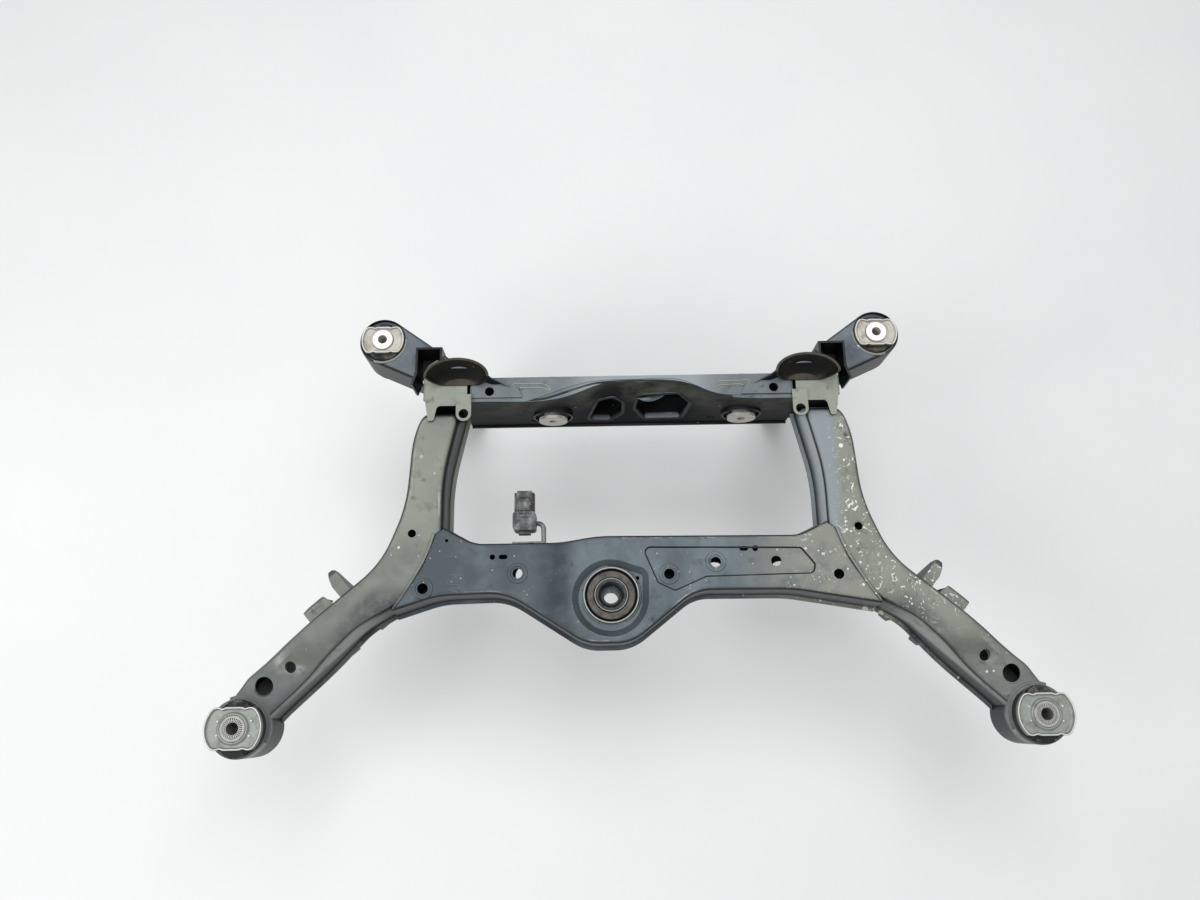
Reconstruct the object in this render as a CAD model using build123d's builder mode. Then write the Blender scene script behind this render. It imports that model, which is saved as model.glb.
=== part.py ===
from build123d import *
from math import cos, radians, sin
import os

os.makedirs("parts", exist_ok=True)

# A welded rear subframe with its rubber mounts. The origin is midway between the two front
# body mounts, on their top contact faces. +X is right, +Y is rearward, +Z is up. Sizes in mm.

# Places of the body mounts
front_mount_x = 520.0
rear_mount_x = 352.0
rear_mount_y = 529.0
horn_reach = 115.3

# Sheet and clearances
sheet = 3.0
thin_sheet = 2.5
bracket_sheet = 4.0
fit_gap = 0.3

# Side members
rail_top_z = 10.0
rail_bottom_z = -50.0
arm_top_z = -25.0
arm_bottom_z = -80.0
rail_edge_radius = 11.0
flange_width = 5.0
rail_end_y = 423.7
rail_end_drop = 34.0
member_front_y = -80.0
climb_start_y = 42.0
climb_end_y = 130.0
drop_start_y = 394.0
under_low_y = 50.0
under_level_y = 150.0

# Front crossmember
front_cross_bottom_z = -44.0
front_cross_edge_radius = 7.0
diff_bush_x = -34.0
diff_bush_y = 160.0
recess_radius = 50.5
recess_depth = 7.0
recess_taper = 50.0
recess_edge_radius = 1.0
panel_depth = 2.0
panel_taper = 30.0

# Rear crossmember
rear_cross_top_z = 8.0
rear_cross_bottom_z = -112.0
rear_cross_half = rear_mount_x - horn_reach
rear_wall_y = 461.0
rear_wall_foot_y = 474.0
face_end_y = 428.0
face_middle_y = 455.0
face_foot_y = 432.0
rear_bush_z = -58.0
rear_bush_xs = (-112.0, 161.0)
rear_bush_bore = 57.0
window_bend = 8.0
cover_inset = 12.7
cover_step = 1.2

# Front body mounts
front_housing_top_z = -22.0
front_housing_diameter = 77.0
front_housing_height = 66.0
front_core_diameter = 33.0
front_core_bore = 16.0
front_plate_inset = 1.0
front_plate_diameter = front_housing_diameter - 2 * front_plate_inset
front_plate_depth = 54.0

# Rear body mounts
rear_housing_top_z = -14.0
rear_housing_diameter = 64.0
rear_housing_height = 66.0
rear_core_diameter = 29.0
rear_core_bore = 13.0
rear_plate_inset = 1.5
rear_plate_diameter = rear_housing_diameter - 2 * rear_plate_inset
rear_plate_depth = 40.0

# Shared by the four body mounts
mount_plate_depth = 7.0
core_chamfer = 0.8
plate_rim_drop = 1.0
plate_notch = 2.0
core_foot = 6.0
lug_width = 26.0
lug_reach = 5.5

# Differential bushes
diff_housing_diameter = 74.0
diff_sleeve_diameter = 43.0
diff_sleeve_bore = 20.0


def keep(piece, name):
    """Name a finished piece and write it out."""
    piece.part.label = name
    export_step(piece.part, f"parts/{name}.step")


def keep_pair(right_piece, name):
    """Write a right-hand piece and its mirror image."""
    keep(right_piece, f"right_{name}")
    with BuildPart() as left_piece:
        mirror(right_piece.part, about=Plane.YZ)
    keep(left_piece, f"left_{name}")


def moved_outline(outline, amount):
    """An outline moved out, or in for a negative amount."""
    with BuildSketch() as moved:
        add(outline)
        offset(amount=amount, kind=Kind.INTERSECTION if amount < 0 else Kind.ARC)
    return moved.sketch


# Side members: one plan outline, cut to one side profile, gives the curved box of each arm and rail
plan_margin = 12.0
outer_edge = [(281, rail_end_y + plan_margin), (303, 385), (309.5, 285), (340, 208), (444, 120), (516, 64),
              (545, 22)]
outer_bends = [150, 200, 130, 300, 40]
inner_edge = [(508, -20), (484, 12), (362, 125), (300, 160), (257, 225), (257, 325),
              (232, rail_end_y + plan_margin)]
inner_bends = [200, 120, 60, 80, 300]
member_holes = [(298, 246, 5.4), (455.5, 76, 7.3), (491.5, 52.7, 12)]
drain_hole_radius = 6.0
cross_holes = [(-281, 172, 7.1), (-251, 235, 2.2), (-190, 212, 3.6), (-157, 190, 6.6), (43, 186, 7),
               (105, 201, 6.8), (185, 201, 6.8), (266, 182, 6.8), (158, 218, 3.8), (1, 182, 2.6)]
recess_bulge_radius = 14.0
below_all = -150.0
above_all = 60.0

with BuildSketch() as member_plan:
    with BuildLine():
        FilletPolyline(*outer_edge, radius=outer_bends)
        Line(outer_edge[-1], inner_edge[0])
        FilletPolyline(*inner_edge, radius=inner_bends)
        Line(inner_edge[-1], outer_edge[0])
    make_face()


def member_profile(inset, lift):
    """The side view of a member: low at the body mount, rising to the level rail, falling at its end."""
    top = rail_top_z - inset
    low_top = arm_top_z - inset
    drop_z = rail_top_z - rail_end_drop - inset
    end_y = rail_end_y + (plan_margin if inset else 0)
    with BuildSketch(Plane.YZ) as profile:
        with BuildLine():
            Line((member_front_y, arm_bottom_z + lift), (member_front_y, low_top))
            Line((member_front_y, low_top), (climb_start_y, low_top))
            Spline((climb_start_y, low_top), (climb_end_y, top), tangents=[(1, 0), (1, 0)])
            Line((climb_end_y, top), (drop_start_y - inset, top))
            Spline((drop_start_y - inset, top), (rail_end_y - inset, drop_z), tangents=[(1, 0), (0.25, -1)])
            if inset:
                Line((rail_end_y - inset, drop_z), (end_y, drop_z))
            Line((end_y, drop_z), (end_y, rail_bottom_z + lift))
            Line((end_y, rail_bottom_z + lift), (under_level_y, rail_bottom_z + lift))
            Spline((under_level_y, rail_bottom_z + lift), (under_low_y, arm_bottom_z + lift),
                   tangents=[(-1, 0), (-1, 0)])
            Line((under_low_y, arm_bottom_z + lift), (member_front_y, arm_bottom_z + lift))
        make_face()
    return profile.sketch


def member_block(inset, radius, lift):
    """The solid that a member's skin encloses, inset by one sheet for its inside."""
    with BuildPart() as block:
        with BuildSketch(Plane.XY.offset(below_all)):
            add(moved_outline(member_plan.sketch, -inset) if inset else member_plan.sketch)
        extrude(amount=above_all - below_all)
        extrude(member_profile(max(inset, 0), lift), amount=700, mode=Mode.INTERSECT)
        if radius == 0:
            return block.part
        up_faces = block.faces().filter_by(lambda face: face.normal_at().Z > 0.3)
        side_rims = up_faces.edges().filter_by(
            lambda edge: edge.geom_type != GeomType.LINE and edge.length > 30
            and edge.center().Y < rail_end_y - 6)
        fillet(side_rims, radius)
    return block.part


member_outside = member_block(0, rail_edge_radius, 0)
member_inside = member_block(sheet, rail_edge_radius - sheet, -40)

# Right side member, upper pressing: the hollow skin with its access holes, cut to the mount housing
with BuildPart() as member_upper:
    add(member_outside)
    add(member_inside, mode=Mode.SUBTRACT)
    with Locations((front_mount_x, 0, 0)):
        Cylinder(front_housing_diameter / 2 + fit_gap, 300, mode=Mode.SUBTRACT)
    with BuildSketch(Plane.XY.offset(-40)):
        for hole_x, hole_y, hole_radius in member_holes:
            with Locations((hole_x, hole_y)):
                Circle(hole_radius)
    extrude(amount=70, mode=Mode.SUBTRACT)
keep_pair(member_upper, "side_member_upper")


plate_front_y = -20.0


def closing_plate(margin, clearance):
    """The sheet that follows a member's curved underside and stands out past it by the margin."""
    with BuildPart() as plate:
        with BuildSketch(Plane.XY.offset(below_all)):
            add(moved_outline(member_plan.sketch, margin))
        extrude(amount=above_all - below_all)
        with BuildSketch(Plane.YZ):
            with BuildLine():
                for height in (clearance, -sheet - clearance):
                    Line((rail_end_y, rail_bottom_z + height), (under_level_y, rail_bottom_z + height))
                    Spline((under_level_y, rail_bottom_z + height), (under_low_y, arm_bottom_z + height),
                           tangents=[(-1, 0), (-1, 0)])
                    Line((under_low_y, arm_bottom_z + height), (plate_front_y, arm_bottom_z + height))
                Line((rail_end_y, rail_bottom_z + clearance), (rail_end_y, rail_bottom_z - sheet - clearance))
                Line((plate_front_y, arm_bottom_z + clearance),
                     (plate_front_y, arm_bottom_z - sheet - clearance))
            make_face()
        extrude(amount=700, mode=Mode.INTERSECT)
    return plate.part


# Right side member, closing plate: it follows the curved underside and stands out as a welded flange
with BuildPart() as member_lower:
    add(closing_plate(flange_width, 0))
    with Locations((front_mount_x, 0, 0)):
        Cylinder(front_housing_diameter / 2 + fit_gap, 300, mode=Mode.SUBTRACT)
    with BuildSketch(Plane.XY.offset(below_all)):
        for drain_x, drain_y in ((279, 330), (286, 260), (410, 95)):
            with Locations((drain_x, drain_y)):
                Circle(drain_hole_radius)
    extrude(amount=above_all - below_all, mode=Mode.SUBTRACT)
keep_pair(member_lower, "side_member_lower")

# Front crossmember plan: rear edge, right lap end, front edge with the belly round the bush, left lap end
cross_front = [(-322, 143), (-262, 162), (-172, 164), (-68, 97), (-8, 97), (78, 164), (205, 163), (322, 143)]
cross_front_bends = [120, 80, 60, 60, 60, 200]
cross_lap = [(322, 143), (283, 203), (267, 247)]
cross_lap_bends = [100]
cross_rear = [(256, 254), (218, 236), (-50, 239), (-100, 231), (-215, 231), (-256, 254)]
cross_rear_bends = [50, 200, 150, 50]
cross_top_z = rail_top_z + sheet

with BuildSketch() as cross_plan:
    with BuildLine():
        FilletPolyline(*cross_front, radius=cross_front_bends)
        FilletPolyline(*cross_lap, radius=cross_lap_bends)
        Line(cross_lap[-1], cross_rear[0])
        FilletPolyline(*cross_rear, radius=cross_rear_bends)
        Line(cross_rear[-1], (-cross_lap[-1][0], cross_lap[-1][1]))
        FilletPolyline(*[(-x, y) for x, y in reversed(cross_lap)], radius=cross_lap_bends)
    make_face()


with BuildSketch() as bush_recess:
    with Locations((diff_bush_x - 1, diff_bush_y - 4)):
        Circle(recess_radius)
    with Locations((diff_bush_x + 36, diff_bush_y + 22)):
        Circle(recess_bulge_radius)
    make_hull()

with BuildSketch() as long_panel:
    with BuildLine():
        Polyline((7, 223), (219, 219), (237, 196), (234, 183), (92, 181), (50, 163), (27, 174), (7, 223))
    make_face()
    fillet(long_panel.vertices(), 8)

right_shadow = moved_outline(member_plan.sketch, fit_gap)
side_shadows = {1: right_shadow, -1: mirror(right_shadow, about=Plane.YZ)}


def slope_margin(taper):
    """How far the underside of a pressed slope stands outside its upper edge, one sheet further down."""
    lean = radians(taper)
    return sheet * (1 - sin(lean)) / cos(lean)


# Front crossmember, upper pressing: a pan with its lapped ends, the bush recess and the long panel
with BuildPart() as cross_upper:
    with BuildSketch(Plane.XY.offset(front_cross_bottom_z)):
        add(cross_plan.sketch)
    extrude(amount=cross_top_z - front_cross_bottom_z)
    fillet(cross_upper.faces().sort_by(Axis.Z)[-1].edges(), front_cross_edge_radius)
    with BuildSketch(Plane.XY.offset(front_cross_bottom_z)):
        add(moved_outline(cross_plan.sketch, -sheet))
    extrude(amount=rail_top_z - front_cross_bottom_z, mode=Mode.SUBTRACT)
    for pressed, depth, taper in ((bush_recess.sketch, recess_depth, recess_taper),
                                  (long_panel.sketch, panel_depth, panel_taper)):
        with BuildSketch(Plane.XY.offset(rail_top_z)):
            add(pressed)
            offset(amount=slope_margin(taper))
        extrude(amount=-depth, taper=taper)
        with BuildSketch(Plane.XY.offset(cross_top_z)):
            add(pressed)
        extrude(amount=-depth, taper=taper, mode=Mode.SUBTRACT)
    bush_centre = Vector(diff_bush_x, diff_bush_y, cross_top_z)
    near_rims = cross_upper.edges().filter_by(
        lambda edge: edge.bounding_box().size.Z < fit_gap and edge.center().Z > cross_top_z - fit_gap
        and (edge.center() - bush_centre).length < recess_radius + 8)
    rear_rims = near_rims.filter_by(lambda edge: edge.center().Y > diff_bush_y - recess_radius)
    fillet(rear_rims, recess_edge_radius)
    for side in (1, -1):
        with BuildSketch(Plane.XY.offset(below_all)):
            add(side_shadows[side])
        extrude(amount=rail_top_z - below_all, mode=Mode.SUBTRACT)
    with BuildSketch(Plane.XY.offset(cross_top_z)):
        for hole_x, hole_y, hole_radius in cross_holes:
            with Locations((hole_x, hole_y)):
                Circle(hole_radius)
        with Locations(Location((143, 218)), Location((-176, 212)), Location((248, 251), 45)):
            SlotOverall(11.5, 6)
        with Locations((diff_bush_x, diff_bush_y)):
            Circle(diff_housing_diameter / 2 + fit_gap)
    extrude(amount=-20, mode=Mode.SUBTRACT)
keep(cross_upper, "front_crossmember_upper")

# Front crossmember, closing plate between the side members, with its flange and a lightening hole
with BuildPart() as cross_lower:
    with BuildSketch(Plane.XY.offset(front_cross_bottom_z - sheet)):
        add(moved_outline(cross_plan.sketch, flange_width))
    extrude(amount=sheet)
    for side in (1, -1):
        with BuildSketch(Plane.XY.offset(below_all)):
            add(side_shadows[side])
        extrude(amount=rail_top_z - below_all, mode=Mode.SUBTRACT)
    with BuildSketch(Plane.XY.offset(front_cross_bottom_z - sheet)):
        with Locations((diff_bush_x, diff_bush_y)):
            Circle(diff_housing_diameter / 2 + fit_gap)
        with Locations((-150, 195), (110, 195), (200, 195)):
            Circle(14)
    extrude(amount=sheet, mode=Mode.SUBTRACT)
keep(cross_lower, "front_crossmember_lower")

# Rear crossmember: the face is straight along its foot and swept back in the middle along its top
swept = [(-rear_cross_half, face_end_y), (-130, face_end_y + 1), (-100, 433), (-72, 442),
         (-38, face_middle_y - 1), (14, face_middle_y), (66, face_middle_y - 1), (100, 442), (128, 433),
         (158, face_end_y + 1), (rear_cross_half, face_end_y)]


def face_strip(top, depth):
    """A strip of sheet seen from above: straight, or swept back in the middle."""
    with BuildSketch(Plane.XY.offset(rear_cross_top_z if top else rear_cross_bottom_z)) as strip:
        with BuildLine():
            if top:
                Spline(*swept)
                Spline(*[(x, y + depth) for x, y in swept])
                front_y = face_end_y
            else:
                Line((-rear_cross_half, face_foot_y), (rear_cross_half, face_foot_y))
                Line((-rear_cross_half, face_foot_y + depth), (rear_cross_half, face_foot_y + depth))
                front_y = face_foot_y
            Line((-rear_cross_half, front_y), (-rear_cross_half, front_y + depth))
            Line((rear_cross_half, front_y), (rear_cross_half, front_y + depth))
        make_face()
    return strip.sketch


# Rear crossmember, front pressing: two windows, two bush seats and the small holes
windows = [[(-61, -96), (-30, -100), (-12, -78), (-12, -48), (-24, -34), (-46, -38)],
           [(8, -66), (22, -96), (76, -94), (85, -44), (68, -24), (12, -30)]]
with BuildPart() as rear_face:
    loft([face_strip(False, sheet).face(), face_strip(True, sheet).face()])
    with BuildSketch(Plane.XZ.offset(-300)):
        for corners in windows:
            with BuildSketch(mode=Mode.PRIVATE) as window:
                with BuildLine():
                    Polyline(*corners, corners[0])
                make_face()
                fillet(window.vertices(), window_bend)
            add(window.sketch)
    extrude(amount=-300, mode=Mode.SUBTRACT)
    with BuildSketch(Plane.XZ.offset(-300)):
        with Locations(*[(x, rear_bush_z) for x in rear_bush_xs]):
            Circle(rear_bush_bore / 2 + fit_gap)
        with Locations((-80, -40), (127, -34)):
            Circle(4.5)
        with Locations((-148, -40), (-142, -88), (195, -40), (120, -88)):
            SlotOverall(12, 6)
    extrude(amount=-300, mode=Mode.SUBTRACT)
keep(rear_face, "rear_crossmember_front")

# Rear crossmember, rear pressing: leaning wall with a long bead, and the floor under both
floor_hole_y = (face_foot_y + rear_wall_foot_y) / 2
with BuildPart() as rear_back:
    with BuildSketch(Plane.YZ.offset(-rear_cross_half)):
        with BuildLine():
            wall_top = (rear_wall_y, rear_cross_top_z)
            bead_top = (rear_wall_y + 6, rear_cross_top_z - 30)
            bead_middle = (rear_wall_y + 2, rear_cross_top_z - 54)
            bead_foot = (rear_wall_y + 10, rear_cross_top_z - 72)
            corner = (rear_wall_foot_y, rear_cross_bottom_z)
            Line(wall_top, bead_top)
            ThreePointArc(bead_top, bead_middle, bead_foot)
            Line(bead_foot, corner)
            Line(corner, (face_foot_y - sheet, rear_cross_bottom_z))
            Line((face_foot_y - sheet, rear_cross_bottom_z),
                 (face_foot_y - sheet, rear_cross_bottom_z - sheet))
            Line((face_foot_y - sheet, rear_cross_bottom_z - sheet),
                 (rear_wall_foot_y + sheet, rear_cross_bottom_z - sheet))
            Line((rear_wall_foot_y + sheet, rear_cross_bottom_z - sheet),
                 (bead_foot[0] + sheet, bead_foot[1]))
            ThreePointArc((bead_foot[0] + sheet, bead_foot[1]), (bead_middle[0] + sheet, bead_middle[1]),
                          (bead_top[0] + sheet, bead_top[1]))
            Line((bead_top[0] + sheet, bead_top[1]), (rear_wall_y + sheet, rear_cross_top_z))
            Line((rear_wall_y + sheet, rear_cross_top_z), wall_top)
        make_face()
    extrude(amount=2 * rear_cross_half)
    with BuildSketch(Plane.XZ.offset(-300)):
        with Locations(*[(x, rear_bush_z) for x in rear_bush_xs]):
            Circle(rear_bush_bore / 2 + fit_gap)
    extrude(amount=-300, mode=Mode.SUBTRACT)
    with BuildSketch(Plane.XY.offset(rear_cross_bottom_z - sheet)):
        with Locations((-170, floor_hole_y), (200, floor_hole_y)):
            Circle(12)
    extrude(amount=sheet, mode=Mode.SUBTRACT)
keep(rear_back, "rear_crossmember_rear")

# Rear crossmember, top cover: its front edge follows the swept face, with a pressed step along it
cover_half = rear_cross_half - cover_inset
cover_top_z = rear_cross_top_z + sheet
lap_hole_x, lap_hole_y, lap_hole_radius = cover_half - 27, 443.0, 6.4
step_line = [(-rear_cross_half, 435.5), (-128, 434.5), (-107, 442), (-84, 450), (-50, 457), (14, 459),
             (72, 456), (99, 444), (120, 436), (139, 433.5), (rear_cross_half, 433)]
with BuildPart() as rear_cover:
    with BuildSketch(Plane.XY.offset(rear_cross_top_z)):
        with BuildLine():
            Spline(*swept)
            Line(swept[-1], (rear_cross_half, rear_wall_y + sheet))
            Line((rear_cross_half, rear_wall_y + sheet), (-rear_cross_half, rear_wall_y + sheet))
            Line((-rear_cross_half, rear_wall_y + sheet), swept[0])
        make_face()
        Rectangle(2 * cover_half, 1200, mode=Mode.INTERSECT)
    extrude(amount=sheet)
    with BuildSketch(Plane.XY.offset(cover_top_z - cover_step)):
        with BuildLine():
            Spline(*step_line)
            Line(step_line[-1], (rear_cross_half, 400))
            Line((rear_cross_half, 400), (-rear_cross_half, 400))
            Line((-rear_cross_half, 400), step_line[0])
        make_face()
    extrude(amount=sheet, mode=Mode.SUBTRACT)
    with BuildSketch(Plane.XY.offset(rear_cross_top_z)):
        with Locations(*[(side * lap_hole_x, lap_hole_y) for side in (1, -1)]):
            Circle(lap_hole_radius)
    extrude(amount=sheet, mode=Mode.SUBTRACT)
keep(rear_cover, "rear_crossmember_top")

# Lap plate welded on each end of the top cover
lap_outer_x = cover_half - 2
with BuildPart() as lap_plate:
    with BuildSketch(Plane.XY.offset(cover_top_z)):
        with BuildLine():
            Polyline((lap_outer_x - 70, 434), (lap_outer_x, 434), (lap_outer_x, 462), (lap_outer_x - 36, 463),
                     (lap_outer_x - 44, 452), (lap_outer_x - 64, 448), (lap_outer_x - 70, 434))
        make_face()
        with Locations((lap_hole_x, lap_hole_y)):
            Circle(lap_hole_radius, mode=Mode.SUBTRACT)
    extrude(amount=thin_sheet)
keep_pair(lap_plate, "lap_plate")

# Place of the lower link bracket, and the corner plate over it and the end of the rail
post_inner_x = rear_cross_half + fit_gap
post_outer_x = post_inner_x + 47
corner_z = 11.0
corner_front_y = 423.0
corner_rear_y = 476.0
corner_inner_x = cover_half + 4
corner_outer_x = post_outer_x + 2
tongue_y = 401.0
corner_front = [(corner_inner_x, corner_front_y), (corner_outer_x - 17, corner_front_y),
                (corner_outer_x - 12.5, tongue_y + 1), (corner_outer_x - 5, tongue_y),
                (corner_outer_x, corner_front_y + 7), (corner_outer_x, corner_rear_y)]
corner_bends = [6, 3, 3, 10]
with BuildPart() as corner_plate:
    with BuildSketch(Plane.XY.offset(corner_z)):
        with BuildLine():
            FilletPolyline(*corner_front, radius=corner_bends)
            Line((corner_outer_x, corner_rear_y), (corner_inner_x, corner_rear_y))
            Line((corner_inner_x, corner_rear_y), (corner_inner_x, corner_front_y))
        make_face()
    extrude(amount=sheet)
keep_pair(corner_plate, "corner_plate")

# Lug with a hole at the front of each corner plate
ear_x, ear_y, ear_width, ear_hole_radius = corner_inner_x + 4, 410.5, 21.0, 6.8
with BuildPart() as ear:
    with BuildSketch(Plane.XY.offset(corner_z + sheet)):
        with Locations((ear_x, ear_y)):
            Circle(ear_width / 2)
        with Locations((ear_x, ear_y + 14)):
            Rectangle(ear_width, 28)
        with Locations((ear_x, ear_y)):
            Circle(ear_hole_radius, mode=Mode.SUBTRACT)
    extrude(amount=sheet)
keep_pair(ear, "corner_ear")

# Lower link bracket: a post from the corner plate down and back to the pivot of the lower link
post_knee_z = -70.0
link_height = 46.0
post_foot_z = -335.0
pivot_z = -305.0
pivot_radius = 7.0


def post_outline(inset, reach):
    """The side view of the post: upright under the corner plate, then leaning back to the pivot."""
    Polyline((424 + inset, corner_z + reach), (424 + inset, post_knee_z), (508 + inset, post_foot_z - reach),
             (556 - inset, post_foot_z - reach), (476 - inset, post_knee_z), (476 - inset, corner_z + reach),
             (424 + inset, corner_z + reach))


with BuildPart() as post:
    with BuildSketch(Plane.YZ.offset(post_inner_x)):
        with BuildLine():
            post_outline(0, 0)
        make_face()
    extrude(amount=post_outer_x - post_inner_x)
    with BuildSketch(Plane.YZ.offset(post_inner_x + bracket_sheet)):
        with BuildLine():
            post_outline(bracket_sheet, 1)
        make_face()
    extrude(amount=post_outer_x - post_inner_x - 2 * bracket_sheet, mode=Mode.SUBTRACT)
    with BuildSketch(Plane.XZ.offset(-700)):
        with BuildLine():
            Polyline((post_outer_x - bracket_sheet, post_foot_z - 1), (post_outer_x + 1, post_foot_z - 1),
                     (post_outer_x + 1, -210), (post_outer_x - bracket_sheet, -210),
                     (post_outer_x - bracket_sheet, post_foot_z - 1))
        make_face()
        with Locations(((post_inner_x + post_outer_x) / 2, pivot_z)):
            Circle(pivot_radius)
        with BuildLine():
            Polyline((post_outer_x, post_foot_z), (post_outer_x, post_foot_z + 22),
                     (post_outer_x - 22, post_foot_z), (post_outer_x, post_foot_z))
        make_face()
    extrude(amount=700, mode=Mode.SUBTRACT)
keep_pair(post, "lower_link_bracket")

# Rear horn: a closed box from the corner out to the rear body mount
horn_top_z, horn_bottom_z = -4.0, -66.0
horn_radius = rear_housing_diameter / 2 + 2
horn_edge_radius = 7.0
with BuildSketch() as horn_plan:
    with BuildLine():
        Line((post_outer_x + fit_gap, 461), (post_inner_x, 487))
        CenterArc((rear_mount_x, rear_mount_y), horn_radius, 0, 360)
    make_hull()

# Upper link bracket: a black sheet bent to a U, open to the front, set in a pocket of the horn
link_left_x, link_back_y, link_floor_z = post_inner_x + 27, 510.0, -32.0
link_right_x = link_left_x + 37

with BuildPart() as horn_upper:
    with BuildSketch(Plane.XY.offset(horn_bottom_z)):
        add(horn_plan.sketch)
    extrude(amount=horn_top_z - horn_bottom_z)
    top_edges = horn_upper.faces().sort_by(Axis.Z)[-1].edges()
    fillet(top_edges.filter_by(lambda edge: edge.center().X > post_outer_x + 2), horn_edge_radius)
    with BuildSketch(Plane.XY.offset(horn_bottom_z)):
        add(horn_plan.sketch)
        offset(amount=-sheet, kind=Kind.INTERSECTION)
    extrude(amount=horn_top_z - horn_bottom_z - sheet, mode=Mode.SUBTRACT)
    with Locations(((post_inner_x + post_outer_x) / 2, 476 + fit_gap - 50, 0)):
        Box(post_outer_x - post_inner_x + 2 * fit_gap, 100, 300, mode=Mode.SUBTRACT)
    with Locations((rear_mount_x, rear_mount_y, 0)):
        Cylinder(rear_housing_diameter / 2 + fit_gap, 300, mode=Mode.SUBTRACT)
    with BuildSketch(Plane.XY.offset(link_floor_z - fit_gap)):
        with BuildLine():
            Polyline((link_left_x - fit_gap, link_back_y + fit_gap),
                     (link_right_x + fit_gap, link_back_y + fit_gap),
                     (link_right_x + fit_gap, 474), (link_right_x + 11, 440), (link_left_x - fit_gap, 440),
                     (link_left_x - fit_gap, link_back_y + fit_gap))
        make_face()
    extrude(amount=60, mode=Mode.SUBTRACT)
keep_pair(horn_upper, "rear_horn_upper")

with BuildPart() as horn_lower:
    with BuildSketch(Plane.XY.offset(horn_bottom_z - sheet)):
        add(horn_plan.sketch)
        with Locations((rear_mount_x, rear_mount_y)):
            Circle(rear_housing_diameter / 2 + fit_gap, mode=Mode.SUBTRACT)
        with Locations((link_right_x - 1, 492)):
            Circle(8, mode=Mode.SUBTRACT)
        with Locations(((post_inner_x + post_outer_x) / 2, 476 + fit_gap - 50)):
            Rectangle(post_outer_x - post_inner_x + 2 * fit_gap, 100, mode=Mode.SUBTRACT)
    extrude(amount=sheet)
keep_pair(horn_lower, "rear_horn_lower")

with BuildPart() as link_bracket:
    with BuildSketch(Plane.XY.offset(link_floor_z)):
        with BuildLine():
            Polyline((link_left_x, 477), (link_left_x, link_back_y), (link_right_x, link_back_y),
                     (link_right_x, 474), (link_right_x + 6, 455), (link_right_x + 3, 454),
                     (link_right_x - sheet, 472),
                     (link_right_x - sheet, link_back_y - sheet), (link_left_x + sheet, link_back_y - sheet),
                     (link_left_x + sheet, 477), (link_left_x, 477))
        make_face()
    extrude(amount=link_height)
    with BuildSketch(Plane.XY.offset(link_floor_z)):
        with Locations(((link_left_x + link_right_x) / 2, (477 + link_back_y) / 2)):
            Rectangle(link_right_x - link_left_x - 2, link_back_y - 477)
        with Locations((link_left_x + 14, 494)):
            Circle(5.5, mode=Mode.SUBTRACT)
        with Locations((link_left_x + 15, 504)):
            SlotOverall(10, 3.4, mode=Mode.SUBTRACT)
    extrude(amount=sheet)
keep_pair(link_bracket, "upper_link_bracket")

# Link cup: a half bowl of sheet that opens forward, on the corner plate
cup_x, cup_y = post_inner_x + 1, 452.0


def cup_bowl(inset):
    """A bowl that widens upward, from three ellipses."""
    with BuildPart() as bowl:
        for height, half_width, half_depth in ((0, 24, 12), (14, 37, 21), (38, 44, 27)):
            with BuildSketch(Plane.XY.offset(corner_z + sheet + height + inset)):
                with Locations((cup_x, cup_y)):
                    Ellipse(half_width - inset, half_depth - inset)
        loft()
    return bowl.part


with BuildPart() as link_cup:
    add(cup_bowl(0))
    add(cup_bowl(sheet), mode=Mode.SUBTRACT)
    with Locations((cup_x, cup_y - 60, corner_z + sheet)):
        Box(200, 120, 200, mode=Mode.SUBTRACT)
keep_pair(link_cup, "link_cup")


# Arm link brackets: two sheet pans hung below and outside each arm, a clevis for a link. A pan is set
# out square to the arm: outward along it, and backward or forward of the middle of the clevis.
arm_axis = (0.755, -0.656)
arm_outward = (0.656, 0.755)
arm_bracket_x, arm_bracket_y = 381.0, 125.0
arm_bracket_gap = 60.0
bracket_flange = 13.0
pan_bend = 8.0
hood_foot_z = -55.0
arm_pivot_s, arm_pivot_z, arm_pivot_radius = 8.0, -106.0, 6.5
wall_back = arm_bracket_gap / 2 + sheet
member_envelope = member_block(-fit_gap, 0, 0)
plate_envelope = closing_plate(flange_width + fit_gap, fit_gap)
clevis_origin = (arm_bracket_x, arm_bracket_y, below_all)
clevis_plan = Plane(origin=clevis_origin, x_dir=(*arm_outward, 0), z_dir=(0, 0, 1))


def pan_tube(square, points, facing, reach):
    """The outline of a pan as a walled tube of the given reach."""
    with BuildPart() as tube:
        with BuildSketch(square) as outline:
            with BuildLine():
                Polyline(*points, points[0])
            make_face()
            fillet(outline.vertices(), pan_bend)
            offset(amount=-sheet, mode=Mode.SUBTRACT)
        extrude(amount=facing * reach)
    return tube.part


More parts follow.
